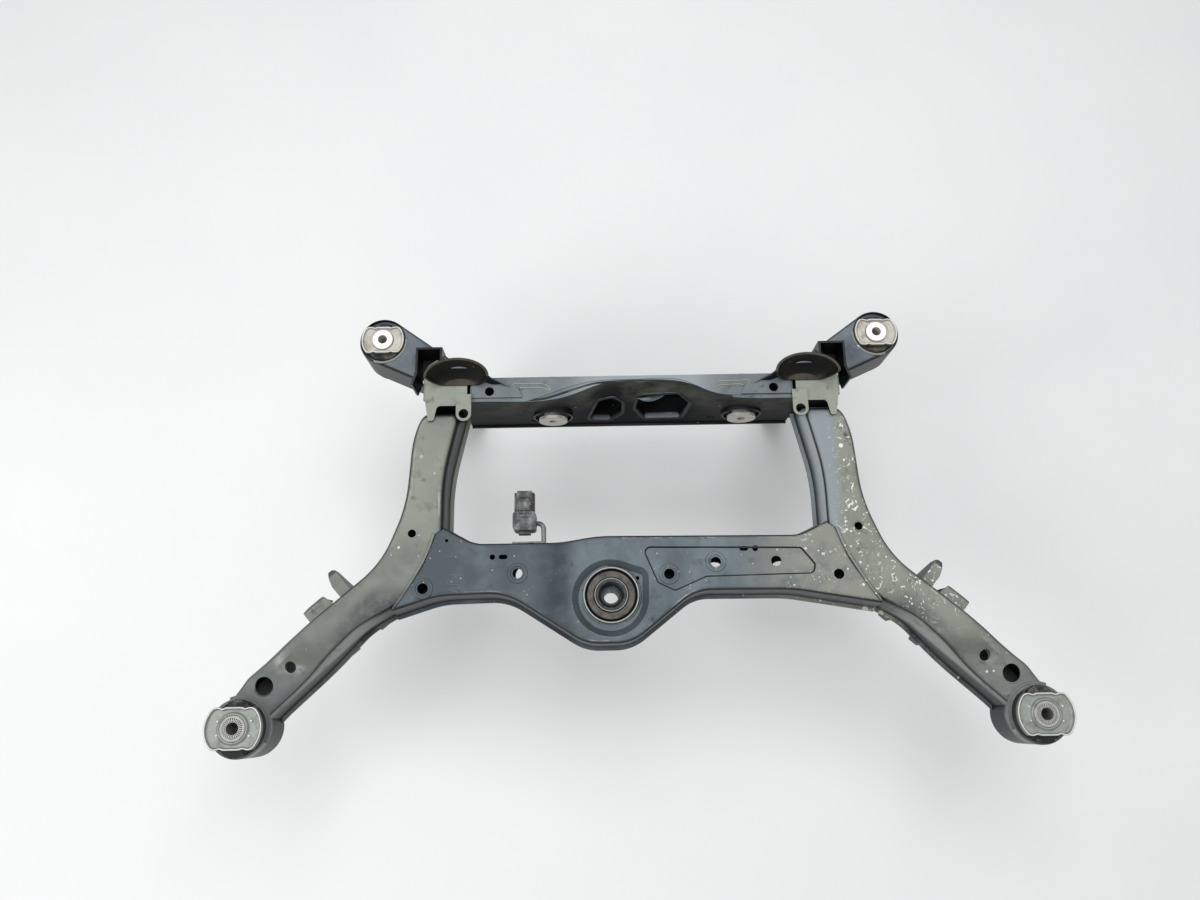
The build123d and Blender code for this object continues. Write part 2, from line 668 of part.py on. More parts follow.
def arm_plate(facing, points, plan_points, hood_reach):
    """One pan: a wall with the pivot hole, a flange all round, and a hood over the top of the clevis."""
    back_x = arm_bracket_x - facing * wall_back * arm_axis[0]
    back_y = arm_bracket_y - facing * wall_back * arm_axis[1]
    square = Plane(origin=(back_x, back_y, 0), x_dir=(*arm_outward, 0), z_dir=(*arm_axis, 0))
    with BuildPart() as pan:
        add(pan_tube(square, points, facing, hood_reach))
        with Locations((arm_bracket_x, arm_bracket_y, hood_foot_z - 100)):
            Box(300, 300, 200, mode=Mode.SUBTRACT)
        add(pan_tube(square, points, facing, bracket_flange))
        with BuildSketch(square) as outline:
            with BuildLine():
                Polyline(*points, points[0])
            make_face()
            fillet(outline.vertices(), pan_bend)
            with Locations((arm_pivot_s, arm_pivot_z)):
                Circle(arm_pivot_radius, mode=Mode.SUBTRACT)
        extrude(amount=facing * sheet)
        with BuildSketch(clevis_plan):
            with BuildLine():
                Polyline(*plan_points, plan_points[0])
            make_face()
        extrude(amount=above_all - below_all, mode=Mode.INTERSECT)
        add(member_envelope, mode=Mode.SUBTRACT)
        add(plate_envelope, mode=Mode.SUBTRACT)
    return pan


rear_pan_points = [(-12, -60), (-9, -124), (26, -124), (58, -62), (81, -22), (68, -8), (20, -8)]
front_pan_points = [(-12, -60), (-9, -124), (26, -124), (52, -76), (62, -30), (54, -8), (20, -8)]
rear_pan_plan = [(-60, wall_back), (74, wall_back), (81, wall_back - 7), (81, 24), (57, 17), (-60, 17)]
front_pan_plan = [(-60, -wall_back), (55, -wall_back), (62, 7 - wall_back), (62, -6), (54, 1), (40, 5),
                  (-60, 5)]
keep_pair(arm_plate(1, rear_pan_points, rear_pan_plan, bracket_flange + 3), "arm_bracket_rear")
keep_pair(arm_plate(-1, front_pan_points, front_pan_plan, wall_back + 5), "arm_bracket_front")


def plate_outline(diameter, depth):
    """A round plate with two flats, each flat waved by two notches."""
    Circle(diameter / 2)
    Rectangle(diameter + 2, depth, mode=Mode.INTERSECT)
    notch = depth / 5
    notch_y = depth / 2 + notch - plate_notch
    with Locations(*[(sx * diameter * 0.26, sy * notch_y) for sx in (1, -1) for sy in (1, -1)]):
        Circle(notch, mode=Mode.SUBTRACT)


def body_mount(name, x, y, housing_top_z, housing_diameter, housing_height, core_diameter, core_bore,
               plate_diameter, plate_depth):
    """The four pieces of a body mount: welded tube, rubber, steel core and stamped plate."""
    housing_foot_z = housing_top_z - housing_height
    bore_radius = housing_diameter / 2 - sheet
    with BuildPart() as housing:
        with BuildSketch(Plane.XY.offset(housing_foot_z)):
            with Locations((x, y)):
                Circle(housing_diameter / 2)
                Circle(bore_radius, mode=Mode.SUBTRACT)
        extrude(amount=housing_height)
    keep_pair(housing, f"{name}_mount_housing")

    with BuildPart() as core:
        with BuildSketch(Plane.XY.offset(housing_foot_z - core_foot)):
            with Locations((x, y)):
                Circle(core_diameter / 2)
                Circle(core_bore / 2, mode=Mode.SUBTRACT)
        extrude(amount=core_foot - housing_foot_z)
        chamfer(core.edges().group_by(Axis.Z)[-1].sort_by(SortBy.RADIUS)[-1], core_chamfer)
    keep_pair(core, f"{name}_mount_core")

    with BuildPart() as plate:
        with BuildSketch(Plane.XY.offset(-mount_plate_depth)):
            with Locations((x, y)):
                plate_outline(plate_diameter, plate_depth)
        extrude(amount=mount_plate_depth - plate_rim_drop)
        with BuildSketch(Plane.XY.offset(thin_sheet - mount_plate_depth)):
            with Locations((x, y)):
                plate_outline(plate_diameter - 2 * thin_sheet, plate_depth - 2 * thin_sheet)
        extrude(amount=mount_plate_depth, mode=Mode.SUBTRACT)
        with BuildSketch(Plane.XY.offset(-mount_plate_depth)):
            with Locations((x, y)):
                Circle(core_diameter / 2 + fit_gap)
        extrude(amount=mount_plate_depth, mode=Mode.SUBTRACT)
    keep_pair(plate, f"{name}_mount_plate")

    with BuildPart() as rubber:
        with BuildSketch(Plane.XY.offset(housing_foot_z + sheet)):
            with Locations((x, y)):
                Circle(bore_radius - fit_gap)
        extrude(amount=housing_height - sheet)
        with BuildSketch(Plane.XY.offset(housing_top_z)):
            with Locations((x, y)):
                plate_outline(plate_diameter - 3, plate_depth - 2)
        extrude(amount=-mount_plate_depth - housing_top_z - fit_gap)
        with BuildSketch(Plane.XY.offset(housing_top_z)):
            with Locations((x, y)):
                Trapezoid(lug_width, plate_depth + 2 * lug_reach, 86)
        extrude(amount=-mount_plate_depth - housing_top_z - 3)
        with BuildSketch(Plane.XY.offset(housing_foot_z)):
            with Locations((x, y)):
                Circle(core_diameter / 2 + fit_gap)
        extrude(amount=-housing_foot_z, mode=Mode.SUBTRACT)
    keep_pair(rubber, f"{name}_mount_rubber")


body_mount("front", front_mount_x, 0, front_housing_top_z, front_housing_diameter, front_housing_height,
           front_core_diameter, front_core_bore, front_plate_diameter, front_plate_depth)
body_mount("rear", rear_mount_x, rear_mount_y, rear_housing_top_z, rear_housing_diameter,
           rear_housing_height, rear_core_diameter, rear_core_bore, rear_plate_diameter, rear_plate_depth)

# Front differential bush: welded housing tube, rubber and inner sleeve, all turned about one upright axis
diff_axis = Plane.XZ.offset(-diff_bush_y)


def turned(points):
    """A ring turned about the bush axis from its half section, given as radius and height."""
    corners = [(diff_bush_x + radius, height) for radius, height in points]
    with BuildPart() as ring:
        with BuildSketch(diff_axis):
            with BuildLine():
                Polyline(*corners, corners[0])
            make_face()
        revolve(axis=Axis((diff_bush_x, diff_bush_y, 0), (0, 0, 1)))
    return ring


housing_radius = diff_housing_diameter / 2
housing_bore = housing_radius - thin_sheet
sleeve_radius = diff_sleeve_diameter / 2
bush_foot_z = front_cross_bottom_z - 7
diff_housing = turned([(housing_bore, bush_foot_z), (housing_radius, bush_foot_z),
                       (housing_radius, cross_top_z - 3), (housing_bore, cross_top_z - 3)])
keep(diff_housing, "front_diff_bush_housing")
rubber_outer = housing_bore - fit_gap
rubber_inner = sleeve_radius + fit_gap
diff_rubber = turned([(rubber_inner, bush_foot_z + 4), (rubber_outer, bush_foot_z + 4),
                      (rubber_outer, cross_top_z - 8), (rubber_outer - 3, cross_top_z - 4),
                      (rubber_inner + 2, cross_top_z - 3), (rubber_inner, cross_top_z - 5)])
keep(diff_rubber, "front_diff_bush_rubber")
bore_radius = diff_sleeve_bore / 2
diff_sleeve = turned([(bore_radius, bush_foot_z - 2), (sleeve_radius, bush_foot_z - 2),
                      (sleeve_radius, cross_top_z - 1), (sleeve_radius - 1, cross_top_z),
                      (bore_radius + 7, cross_top_z), (bore_radius + 4, cross_top_z - 3),
                      (bore_radius + 4, cross_top_z - 14), (bore_radius, cross_top_z - 14)])
keep(diff_sleeve, "front_diff_bush_sleeve")

# Rear differential bushes: outer sleeve, rubber, and inner sleeve with its stop disc, on level axes
rear_bush_front_y, rear_bush_back_y = 426.0, rear_wall_foot_y + 5
rear_disc_radius, rear_disc_thickness = 20.5, 4.0
rear_inner_radius, rear_inner_bore = 13.0, 6.0


def level_ring(x, outer, inner, front_y, back_y):
    """A plain ring whose axis runs fore and aft."""
    with BuildPart() as ring:
        with BuildSketch(Plane.XZ.offset(-back_y)):
            with Locations((x, rear_bush_z)):
                Circle(outer)
                Circle(inner, mode=Mode.SUBTRACT)
        extrude(amount=back_y - front_y)
    return ring


for side_name, bush_x in zip(("left", "right"), rear_bush_xs):
    outer_radius = rear_bush_bore / 2
    sleeve_wall = thin_sheet
    keep(level_ring(bush_x, outer_radius, outer_radius - sleeve_wall, rear_bush_front_y, rear_bush_back_y),
         f"{side_name}_rear_bush_outer")
    keep(level_ring(bush_x, outer_radius - sleeve_wall - fit_gap, rear_inner_radius + fit_gap,
                    rear_bush_front_y + 5, rear_bush_back_y - 4), f"{side_name}_rear_bush_rubber")
    with BuildPart() as inner_sleeve:
        with BuildSketch(Plane.XZ.offset(-rear_bush_back_y - 3)):
            with Locations((bush_x, rear_bush_z)):
                Circle(rear_inner_radius)
        extrude(amount=rear_bush_back_y + 3 - rear_bush_front_y + 2)
        with BuildSketch(Plane.XZ.offset(-rear_bush_front_y + 2)):
            with Locations((bush_x, rear_bush_z)):
                Circle(rear_disc_radius)
        extrude(amount=rear_disc_thickness)
        with BuildSketch(Plane.XZ.offset(-rear_bush_back_y - 3)):
            with Locations((bush_x, rear_bush_z)):
                Circle(rear_inner_bore)
        extrude(amount=100, mode=Mode.SUBTRACT)
    keep(inner_sleeve, f"{side_name}_rear_bush_inner")

# Sensor on a bent rod behind the front crossmember
strip_y = 231.2
with BuildPart() as sensor_bracket:
    with Locations((-143, strip_y + 1.5, -6)):
        Box(44, 3, 14)
    with BuildLine():
        rod_route = FilletPolyline((-123, strip_y + 2, -2), (-123, 259, -2), (-140, 259, -2), radius=8)
    with BuildSketch(Plane(rod_route @ 0, z_dir=rod_route % 0)):
        Circle(3.2)
    sweep()
keep(sensor_bracket, "sensor_bracket")
with BuildPart() as sensor_body:
    with Locations((-148.5, 261, -2)):
        Box(31, 26, 24)
    fillet(sensor_body.edges().filter_by(Axis.Z), 5)
    with Locations((-148.5, 246.5, -2)):
        Box(16, 5, 14)
    with BuildSketch(Plane.YZ.offset(-133)):
        with Locations((259, -2)):
            Circle(3.2 + fit_gap)
    extrude(amount=-10, mode=Mode.SUBTRACT)
keep(sensor_body, "sensor_body")
with BuildPart() as sensor_connector:
    with Locations((-148.5, 287, -2)):
        Box(27, 25.4, 20)
    fillet(sensor_connector.edges().filter_by(Axis.Y), 3)
    with Locations((-148.5, 283, 9)):
        Box(15, 16, 3)
    with Locations((-148.5, 301, -2)):
        Box(20, 4, 14)
keep(sensor_connector, "sensor_connector")
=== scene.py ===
# %% [markdown]
# # A welded rear subframe with its rubber mounts
# The real object is a frame of pressed steel sheet that hangs under the back of a car. The solids
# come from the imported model, in metres, with +X to the right, +Y to the rear and +Z up. This script
# gives each solid a finish and adds what is too fine for them: weld beads, stamped plates, fine
# teeth and rolled lips. It starts with the frame, its outer box, and the few places in millimetres
# that the added pieces are set by: the mounts, the front differential bush and the link cups.

# %% Load the frame
import math

import bpy
import numpy as np
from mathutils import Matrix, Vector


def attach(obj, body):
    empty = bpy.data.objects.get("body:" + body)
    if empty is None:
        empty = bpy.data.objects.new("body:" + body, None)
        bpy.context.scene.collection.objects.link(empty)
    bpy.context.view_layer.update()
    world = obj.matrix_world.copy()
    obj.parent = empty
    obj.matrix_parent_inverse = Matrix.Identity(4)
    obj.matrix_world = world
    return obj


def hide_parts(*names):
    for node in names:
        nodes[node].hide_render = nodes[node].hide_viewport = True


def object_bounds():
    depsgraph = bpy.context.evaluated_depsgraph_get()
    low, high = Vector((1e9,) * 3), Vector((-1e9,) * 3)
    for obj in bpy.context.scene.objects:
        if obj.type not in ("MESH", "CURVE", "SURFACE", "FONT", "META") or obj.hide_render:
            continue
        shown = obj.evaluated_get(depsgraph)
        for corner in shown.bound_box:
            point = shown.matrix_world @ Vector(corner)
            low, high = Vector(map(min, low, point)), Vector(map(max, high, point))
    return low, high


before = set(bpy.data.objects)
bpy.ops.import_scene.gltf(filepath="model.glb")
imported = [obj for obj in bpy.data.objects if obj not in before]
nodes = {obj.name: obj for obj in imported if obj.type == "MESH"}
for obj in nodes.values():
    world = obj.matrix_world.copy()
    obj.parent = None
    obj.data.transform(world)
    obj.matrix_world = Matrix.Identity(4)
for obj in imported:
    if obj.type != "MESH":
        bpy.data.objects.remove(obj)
cad_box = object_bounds()
mm = 0.001
front_mount_x, rear_mount_x, rear_mount_y = 520, 352, 529
diff_bush = (-34, 160)
cup_x, cup_y = 237.7, 452
print("solids:", len(nodes), "box:", [round(v, 3) for corner in cad_box for v in corner])

# %% [markdown]
# Colours are picked as sRGB hex codes, as a paint chart gives them, while the renderer works in
# linear light. One function turns a code into linear values.

# %% Colour from a hex code
def linear(code):
    """Each channel c of the code becomes c / 12.92 when small, and ((c + 0.055) / 1.055) ^ 2.4 above."""
    channels = [int(code[i:i + 2], 16) / 255 for i in (1, 3, 5)]
    light = [c / 12.92 if c <= 0.04045 else ((c + 0.055) / 1.055) ** 2.4 for c in channels]
    return (*light, 1.0)


print("mid grey is", round(linear("#808080")[0], 3))

# %% [markdown]
# A finish is a small graph of nodes. One helper adds a node, sets its options and fills its
# sockets, either with a plain value or with the output of another node.

# %% Add one node
def add_node(tree, kind, sockets=None, **settings):
    """A new node of that kind; sockets maps a name or number to a value or to another node's output."""
    node = tree.nodes.new(kind)
    for name, value in settings.items():
        setattr(node, name, value)
    for name, value in (sockets or {}).items():
        if isinstance(value, bpy.types.NodeSocket):
            tree.links.new(value, node.inputs[name])
        else:
            node.inputs[name].default_value = value
    return node


def new_finish(name):
    """An empty node tree that holds only the object's own coordinates, so a pattern stays on its piece."""
    made = bpy.data.materials.new(name)
    made.use_nodes = True
    made.node_tree.nodes.clear()
    place = add_node(made.node_tree, "ShaderNodeTexCoord").outputs["Object"]
    return made, made.node_tree, place


print("helper ready")

# %% [markdown]
# Dust, drips and scratches are patterns that several finishes share. A speck pattern scatters round
# dots: each cell of a cell texture holds one point, and the cell's own random value decides
# whether it shows and how large it is. Real dirt is never even, so soft patches of fractal noise
# break up every layer. Spacings are real millimetres, turned into cells per metre.

# %% Patterns: specks, patches and hairline scratches
def specks(tree, place, spacing_mm, share, largest):
    """Round dots: a cell's random value above (1 - share) sets the dot's radius, as a part of the spacing."""
    cells = add_node(tree, "ShaderNodeTexVoronoi", {"Vector": place, "Scale": 1000 / spacing_mm})
    chance = add_node(tree, "ShaderNodeSeparateColor", {"Color": cells.outputs["Color"]}).outputs["Red"]
    radius = add_node(tree, "ShaderNodeMapRange", {"Value": chance, "From Min": 1 - share, "To Max": largest})
    depth = add_node(tree, "ShaderNodeMath", {0: radius.outputs[0], 1: cells.outputs["Distance"]},
                     operation="SUBTRACT")
    return add_node(tree, "ShaderNodeMapRange", {"Value": depth.outputs[0], "From Max": 0.05}).outputs[0]


def patches(tree, place, size_mm, low, high, detail=4.0, twist=0.0):
    """Soft patches: fractal noise of that size, stretched so that low reads as none and high as full."""
    cloud = add_node(tree, "ShaderNodeTexNoise", {"Vector": place, "Scale": 1000 / size_mm, "Detail": detail,
                                                  "Roughness": 0.6, "Distortion": twist})
    return add_node(tree, "ShaderNodeMapRange", {"Value": cloud.outputs[0], "From Min": low,
                                                 "From Max": high}).outputs[0]


def scratches(tree, place, turn, length_mm, width_share):
    """Hairlines: the thin band where a stretched noise passes its middle value, broken by soft patches."""
    along = add_node(tree, "ShaderNodeMapping",
                     {"Vector": place, "Rotation": (0, 0, turn), "Scale": (1, 22, 1)})
    noise = add_node(tree, "ShaderNodeTexNoise", {"Vector": along.outputs[0], "Scale": 400 / length_mm,
                                                  "Detail": 0.0})
    middle = add_node(tree, "ShaderNodeMath", {0: noise.outputs[0], 1: 0.5}, operation="SUBTRACT")
    away = add_node(tree, "ShaderNodeMath", {0: middle.outputs[0]}, operation="ABSOLUTE")
    line = add_node(tree, "ShaderNodeMapRange", {"Value": away.outputs[0], "From Max": width_share,
                                                 "To Min": 1.0, "To Max": 0.0})
    broken = patches(tree, place, length_mm, 0.62, 0.7)
    return add_node(tree, "ShaderNodeMath", {0: line.outputs[0], 1: broken}, operation="MULTIPLY").outputs[0]


print("patterns ready")

# %% [markdown]
# Dirt also follows the shape. Dust settles on what faces up, so a mask reads the upward part of the
# normal. A zone opens gradually between two places along a direction, and a round zone does the same
# with the distance from an upright axis. Layers then lie over one another like coats of paint.

# %% Masks that follow the shape, and layers
def facing_up(tree, low, high):
    """From none where the normal's upward part is low to full where it is high; swapped ends turn it."""
    normal = add_node(tree, "ShaderNodeNewGeometry").outputs["Normal"]
    upward = add_node(tree, "ShaderNodeSeparateXYZ", {0: normal}).outputs["Z"]
    return add_node(tree, "ShaderNodeMapRange", {"Value": upward, "From Min": low, "From Max": high},
                    interpolation_type="SMOOTHSTEP").outputs[0]


def zone(tree, place, direction, start_mm, end_mm):
    """From none at the start to full at the end, measured along a direction as the dot product with it."""
    part = add_node(tree, "ShaderNodeVectorMath", {0: place, 1: direction},
                    operation="DOT_PRODUCT").outputs["Value"]
    return add_node(tree, "ShaderNodeMapRange",
                    {"Value": part, "From Min": start_mm * mm, "From Max": end_mm * mm},
                    interpolation_type="SMOOTHSTEP").outputs[0]


def round_zone(tree, place, centre_mm, start_mm, end_mm):
    """The same by the distance from an upright axis through the centre: the length of (x - cx, y - cy)."""
    to_centre = (-centre_mm[0] * mm, -centre_mm[1] * mm, 0)
    flat = add_node(tree, "ShaderNodeMapping", {"Vector": place, "Location": to_centre, "Scale": (1, 1, 0)})
    reach = add_node(tree, "ShaderNodeVectorMath", {0: flat.outputs[0]}, operation="LENGTH").outputs["Value"]
    return add_node(tree, "ShaderNodeMapRange", {"Value": reach, "From Min": start_mm * mm,
                                                 "From Max": end_mm * mm}).outputs[0]


def lay_over(tree, base, *layers):
    """Each layer is a colour and the masks that must all be open for it to cover what lies below."""
    for colour, *masks in layers:
        share = masks[0]
        for mask in masks[1:]:
            share = add_node(tree, "ShaderNodeMath", {0: share, 1: mask}, operation="MULTIPLY").outputs[0]
        base = add_node(tree, "ShaderNodeMix", {0: share, 6: base, 7: colour}, data_type="RGBA").outputs[2]
    return base


across_frame, rearward, upright = (1, 0, 0), (0, 1, 0), (0, 0, 1)
print("masks and layers ready")

# %% [markdown]
# The sheet metal is dip-coated steel: pressed, welded, then sunk in an electrically charged bath that
# leaves a thin, even, satin black film. The eye knows it by its soft sheen on dark walls, by a pale
# line along the rounded edges, painted here as a highlight, and by the road dust that dulls what faces
# up. White mineral splashes and fine specks lie on the dust, and hairline scratches show on top. The
# film's own orange peel is finer than a pixel, so it is drawn at about 2 mm to show at all.

# %% Finish: dip-coated pressed steel under road dust
def dip_coated_steel(name, coat, sheen, dust, patch, flecks, edge_highlight=0.1, cover=1.0, rough=0.4, gloss=0.3,
                     marks=None):
    """Coat below, dust above it where the surface faces up, a painted edge highlight, its own marks,
    scratches and specks.
    """
    finish, tree, place = new_finish(name)
    lies = facing_up(tree, 0.62, 0.93)
    coat_colour = lay_over(tree, linear(coat), (linear(sheen), patches(tree, place, 130, 0.35, 0.65)))
    dust_colour = lay_over(tree, linear(dust),
                           (linear(patch), patches(tree, place, 70, 0.4, 0.62, detail=6.0)))
    worn = patches(tree, place, 38, 0.3 - 0.3 * cover, 0.62 - 0.3 * cover, detail=9.0, twist=0.5)
    colour = lay_over(tree, coat_colour,
                      (dust_colour, lies, worn),
                      # painted highlight: a pale line on rounded edges, where the normal tips about 18 to 34
                      # degrees from up
                      (linear("#a9b0ad"), facing_up(tree, 0.8, 0.86), facing_up(tree, 0.97, 0.92),
                       patches(tree, place, 45, 0.62 - edge_highlight, 0.8 - edge_highlight)),
                      (linear(coat), lies, patches(tree, place, 15, 0.56, 0.68, detail=8.0),
                       patches(tree, place, 90, 0.4, 0.7)))
    if marks:
        colour = lay_over(tree, colour, *marks(tree, place, lies))
    dots = specks(tree, place, 8, flecks, largest=0.13)
    colour = lay_over(tree, colour,
                      (linear("#a3a8a6"), scratches(tree, place, 0.7, 55, 0.004), lies),
                      (linear("#b4b9b7"), dots, facing_up(tree, 0.2, 0.7)))
    roughness = add_node(tree, "ShaderNodeMapRange",
                         {"Value": lies, "To Min": rough, "To Max": rough + 0.2}).outputs[0]
    peel = add_node(tree, "ShaderNodeTexNoise", {"Vector": place, "Scale": 1000 / 2.2, "Detail": 4.0})
    wavy = add_node(tree, "ShaderNodeTexNoise", {"Vector": place, "Scale": 1000 / 55, "Detail": 1.0})
    fine_relief = add_node(tree, "ShaderNodeBump",
                           {"Strength": 0.2, "Distance": 0.0003, "Height": peel.outputs[0]})
    relief = add_node(tree, "ShaderNodeBump", {"Strength": 0.35, "Distance": 0.003, "Height": wavy.outputs[0],
                                               "Normal": fine_relief.outputs[0]})
    body = add_node(tree, "ShaderNodeBsdfPrincipled", {"Base Color": colour, "Roughness": roughness,
                                                       "Normal": relief.outputs[0], "IOR": 1.5,
                                                       "Specular IOR Level": gloss})
    add_node(tree, "ShaderNodeOutputMaterial", {0: body.outputs[0]})
    return finish


def splashes(tree, place, amount):
    """Dried road water: large dots, their small satellites and twisted runs."""
    large = specks(tree, place, 24, amount, largest=0.2)
    small = specks(tree, place, 9, amount * 1.2, largest=0.24)
    runs = patches(tree, place, 10, 0.74 - 0.22 * amount, 0.8 - 0.22 * amount, detail=3.0, twist=2.0)
    either = add_node(tree, "ShaderNodeMath", {0: large, 1: small}, operation="MAXIMUM").outputs[0]
    return add_node(tree, "ShaderNodeMath", {0: either, 1: runs}, operation="MAXIMUM").outputs[0]


print("dip coat ready")

# %% [markdown]
# The same bath coats every sheet, yet each part of the frame aged in its own way, and some marks are
# painted light and shade. The right rail faces the wheel's spray on its outer half and keeps a bluer
# sheen on its inner half, and both arms get painted shade along their inner edge, where a rounded
# flank would turn from the light. The crossmember is cleaner in the middle and dusty at its right end,
# with painted shade beside the bush recess. The rear crossmember gets painted shade on its flat parts
# low down and painted olive light on its face above, and the link cups are brown with dried mud. Each
# mark is a colour with the zones in which it lies.

# %% The dip coat on each part of the frame
def arm_flank(tree, place):
    """Dust over the upper edge of the arms' steep flanks, gone a third of the way down."""
    return [(linear("#868c87"), zone(tree, place, upright, -46, -29), zone(tree, place, rearward, 150, 115),
             facing_up(tree, 0.7, 0.4), patches(tree, place, 30, 0.2, 0.5, detail=6.0))]


def right_rail_marks(tree, place, lies):
    """A blue-grey inner half, painted shade along the inner edge of the arm, and splashes on the outer half.
    """
    outer = zone(tree, place, across_frame, 262, 285)
    return [(linear("#868f93"), zone(tree, place, across_frame, 284, 268),
             zone(tree, place, rearward, 190, 260), lies),
            (linear("#a3acb1"), zone(tree, place, upright, -46, -8), zone(tree, place, rearward, 200, 260),
             zone(tree, place, across_frame, 290, 276), facing_up(tree, 0.6, 0.3)),
            # painted shade: the inner edge of the arm's flat top, darkened as if the flank rounded away from
            # the light
            (linear("#343a40"), zone(tree, place, (0.76, 0.65, 0), 386, 364),
             zone(tree, place, rearward, 170, 120), patches(tree, place, 40, 0.3, 0.6, detail=5.0), lies),
            *arm_flank(tree, place),
            (linear("#5f656a"), zone(tree, place, rearward, 110, 20), patches(tree, place, 50, 0.35, 0.65),
             lies),
            (linear("#e2e2d8"), splashes(tree, place, 0.6), outer, zone(tree, place, rearward, 90, 160),
             lies),
            (linear("#cfd0c6"), splashes(tree, place, 0.2), outer, lies)]


def left_rail_marks(tree, place, lies):
    """Painted shade along the inner edge of the arm, a darker front end, light scuffs near the rear end, and
    small marks.
    """
    # painted shade: the inner edge of the arm's flat top, darkened as if the flank rounded away from the
    # light
    return [(linear("#1d222a"), zone(tree, place, (-0.76, 0.65, 0), 388, 369),
             zone(tree, place, rearward, 190, 150), zone(tree, place, rearward, 80, 115),
             patches(tree, place, 22, 0.2, 0.5, detail=8.0), lies),
            *arm_flank(tree, place),
            (linear("#6a6f6c"), zone(tree, place, rearward, 290, 200), patches(tree, place, 50, 0.25, 0.65),
             lies),
            (linear("#585e62"), zone(tree, place, rearward, 120, 30), patches(tree, place, 50, 0.25, 0.6),
             lies),
            (linear("#c9cbc2"), scratches(tree, place, 1.35, 38, 0.012),
             zone(tree, place, rearward, 250, 330), lies),
            (linear("#c4c6bd"), splashes(tree, place, 0.1), lies, patches(tree, place, 70, 0.45, 0.6))]


def cross_marks(tree, place, lies):
    """A darker left end, painted shade beside the bush recess, khaki dust and drips to the right, fine
    specks.
    """
    return [(linear("#464f54"), zone(tree, place, across_frame, -40, -150), lies,
             patches(tree, place, 60, 0.3, 0.6)),
            # painted shade: a dark band just left of the bush recess
            (linear("#2f383e"), zone(tree, place, across_frame, -150, -105),
             zone(tree, place, across_frame, -76, -98), lies, patches(tree, place, 40, 0.1, 0.6)),
            (linear("#85877f"), zone(tree, place, across_frame, 110, 235), lies,
             patches(tree, place, 30, 0.15, 0.5)),
            (linear("#dadad1"), splashes(tree, place, 0.45), zone(tree, place, across_frame, 140, 230), lies),
            (linear("#b4baba"), specks(tree, place, 7, 0.5, largest=0.17), lies)]


def rear_marks(tree, place, lies):
    """A paler middle of the cover, painted shade on flat parts low inside, painted olive light on the face,
    most of it high up, and painted shade on the face's outer ends.
    """
    # blotches for the painted light and shade on the face
    face_light_patches = patches(tree, place, 26, 0.35, 0.65, detail=8.0)
    steep = facing_up(tree, 0.7, 0.4)
    return [(linear("#8f999d"), zone(tree, place, across_frame, -110, -40),
             zone(tree, place, across_frame, 140, 80), facing_up(tree, 0.7, 0.9)),
            # painted shade: flat parts low inside the crossmember go dark
            (linear("#262c30"), zone(tree, place, upright, -30, -60), lies),
            # painted light: an olive glow on the upper face, in two layers blotched by patches
            (linear("#3c3e38"), zone(tree, place, upright, -16, 6), steep, face_light_patches),
            (linear("#55574d"), zone(tree, place, upright, -70, -10), steep,
             patches(tree, place, 44, 0.4, 0.7, detail=6.0)),
            # painted shade: darker patches on the face towards both ends, outside the windows
            *((linear("#2c2e2b"), face_light_patches, steep, zone(tree, place, upright, -90, -30),
               zone(tree, place, across_frame, start, end)) for start, end in ((70, 120), (-60, -100)))]


rail_left = dip_coated_steel("dip_coated_steel_khaki_dust", "#0f1214", "#1a1e21", "#7c8279", "#888d83",
                             flecks=0.12, marks=left_rail_marks)
rail_right = dip_coated_steel("dip_coated_steel_splashed_dust", "#101316", "#1c2024", "#7d8178", "#888b82",
                              flecks=0.2, marks=right_rail_marks)
cross_finish = dip_coated_steel("dip_coated_steel_blue_grey", "#0c1013", "#171d21", "#505b61", "#677379",
                                flecks=0.25, cover=0.9, marks=cross_marks)
rear_finish = dip_coated_steel("dip_coated_steel_dark", "#060709", "#0b0d0f", "#646b6e", "#757d81",
                               flecks=0.16, rough=0.5, gloss=0.08, marks=rear_marks)
horn_finish = dip_coated_steel("dip_coated_steel_horn", "#0b0d10", "#14181c", "#576168", "#717b80",
                               flecks=0.12)
corner_finish = dip_coated_steel("dip_coated_steel_corner", "#131517", "#202426", "#868b81", "#92968b",
                                 flecks=0.12)
black_coat = dip_coated_steel("dip_coated_steel_black", "#08090b", "#111315", "#16181a", "#26282a",
                              flecks=0.1, cover=0.5, rough=0.36)
cup_finish = dip_coated_steel("dip_coated_steel_brown_dust", "#111110", "#1c1b18", "#35332c", "#4c483e",
                              flecks=0.06, edge_highlight=-0.4, gloss=0.2)
print("dip coats:", rail_left.name, rail_right.name, cross_finish.name, rear_finish.name)

# %% [markdown]
# The mount plates are stamped from zinc-plated sheet that has lost its shine: a dull metal with a
# small grey bloom, with a painted highlight bead along the rims. The cores are turned steel, greyer
# in front and bright behind where a bolt head has cleaned them, and the discs of the rear bushes are
# pale. Steep sides of these metals get a painted tone, by default a painted shade. The rubber is
# moulded black, chalky with dust where it faces up, and brown with it in the front bush.

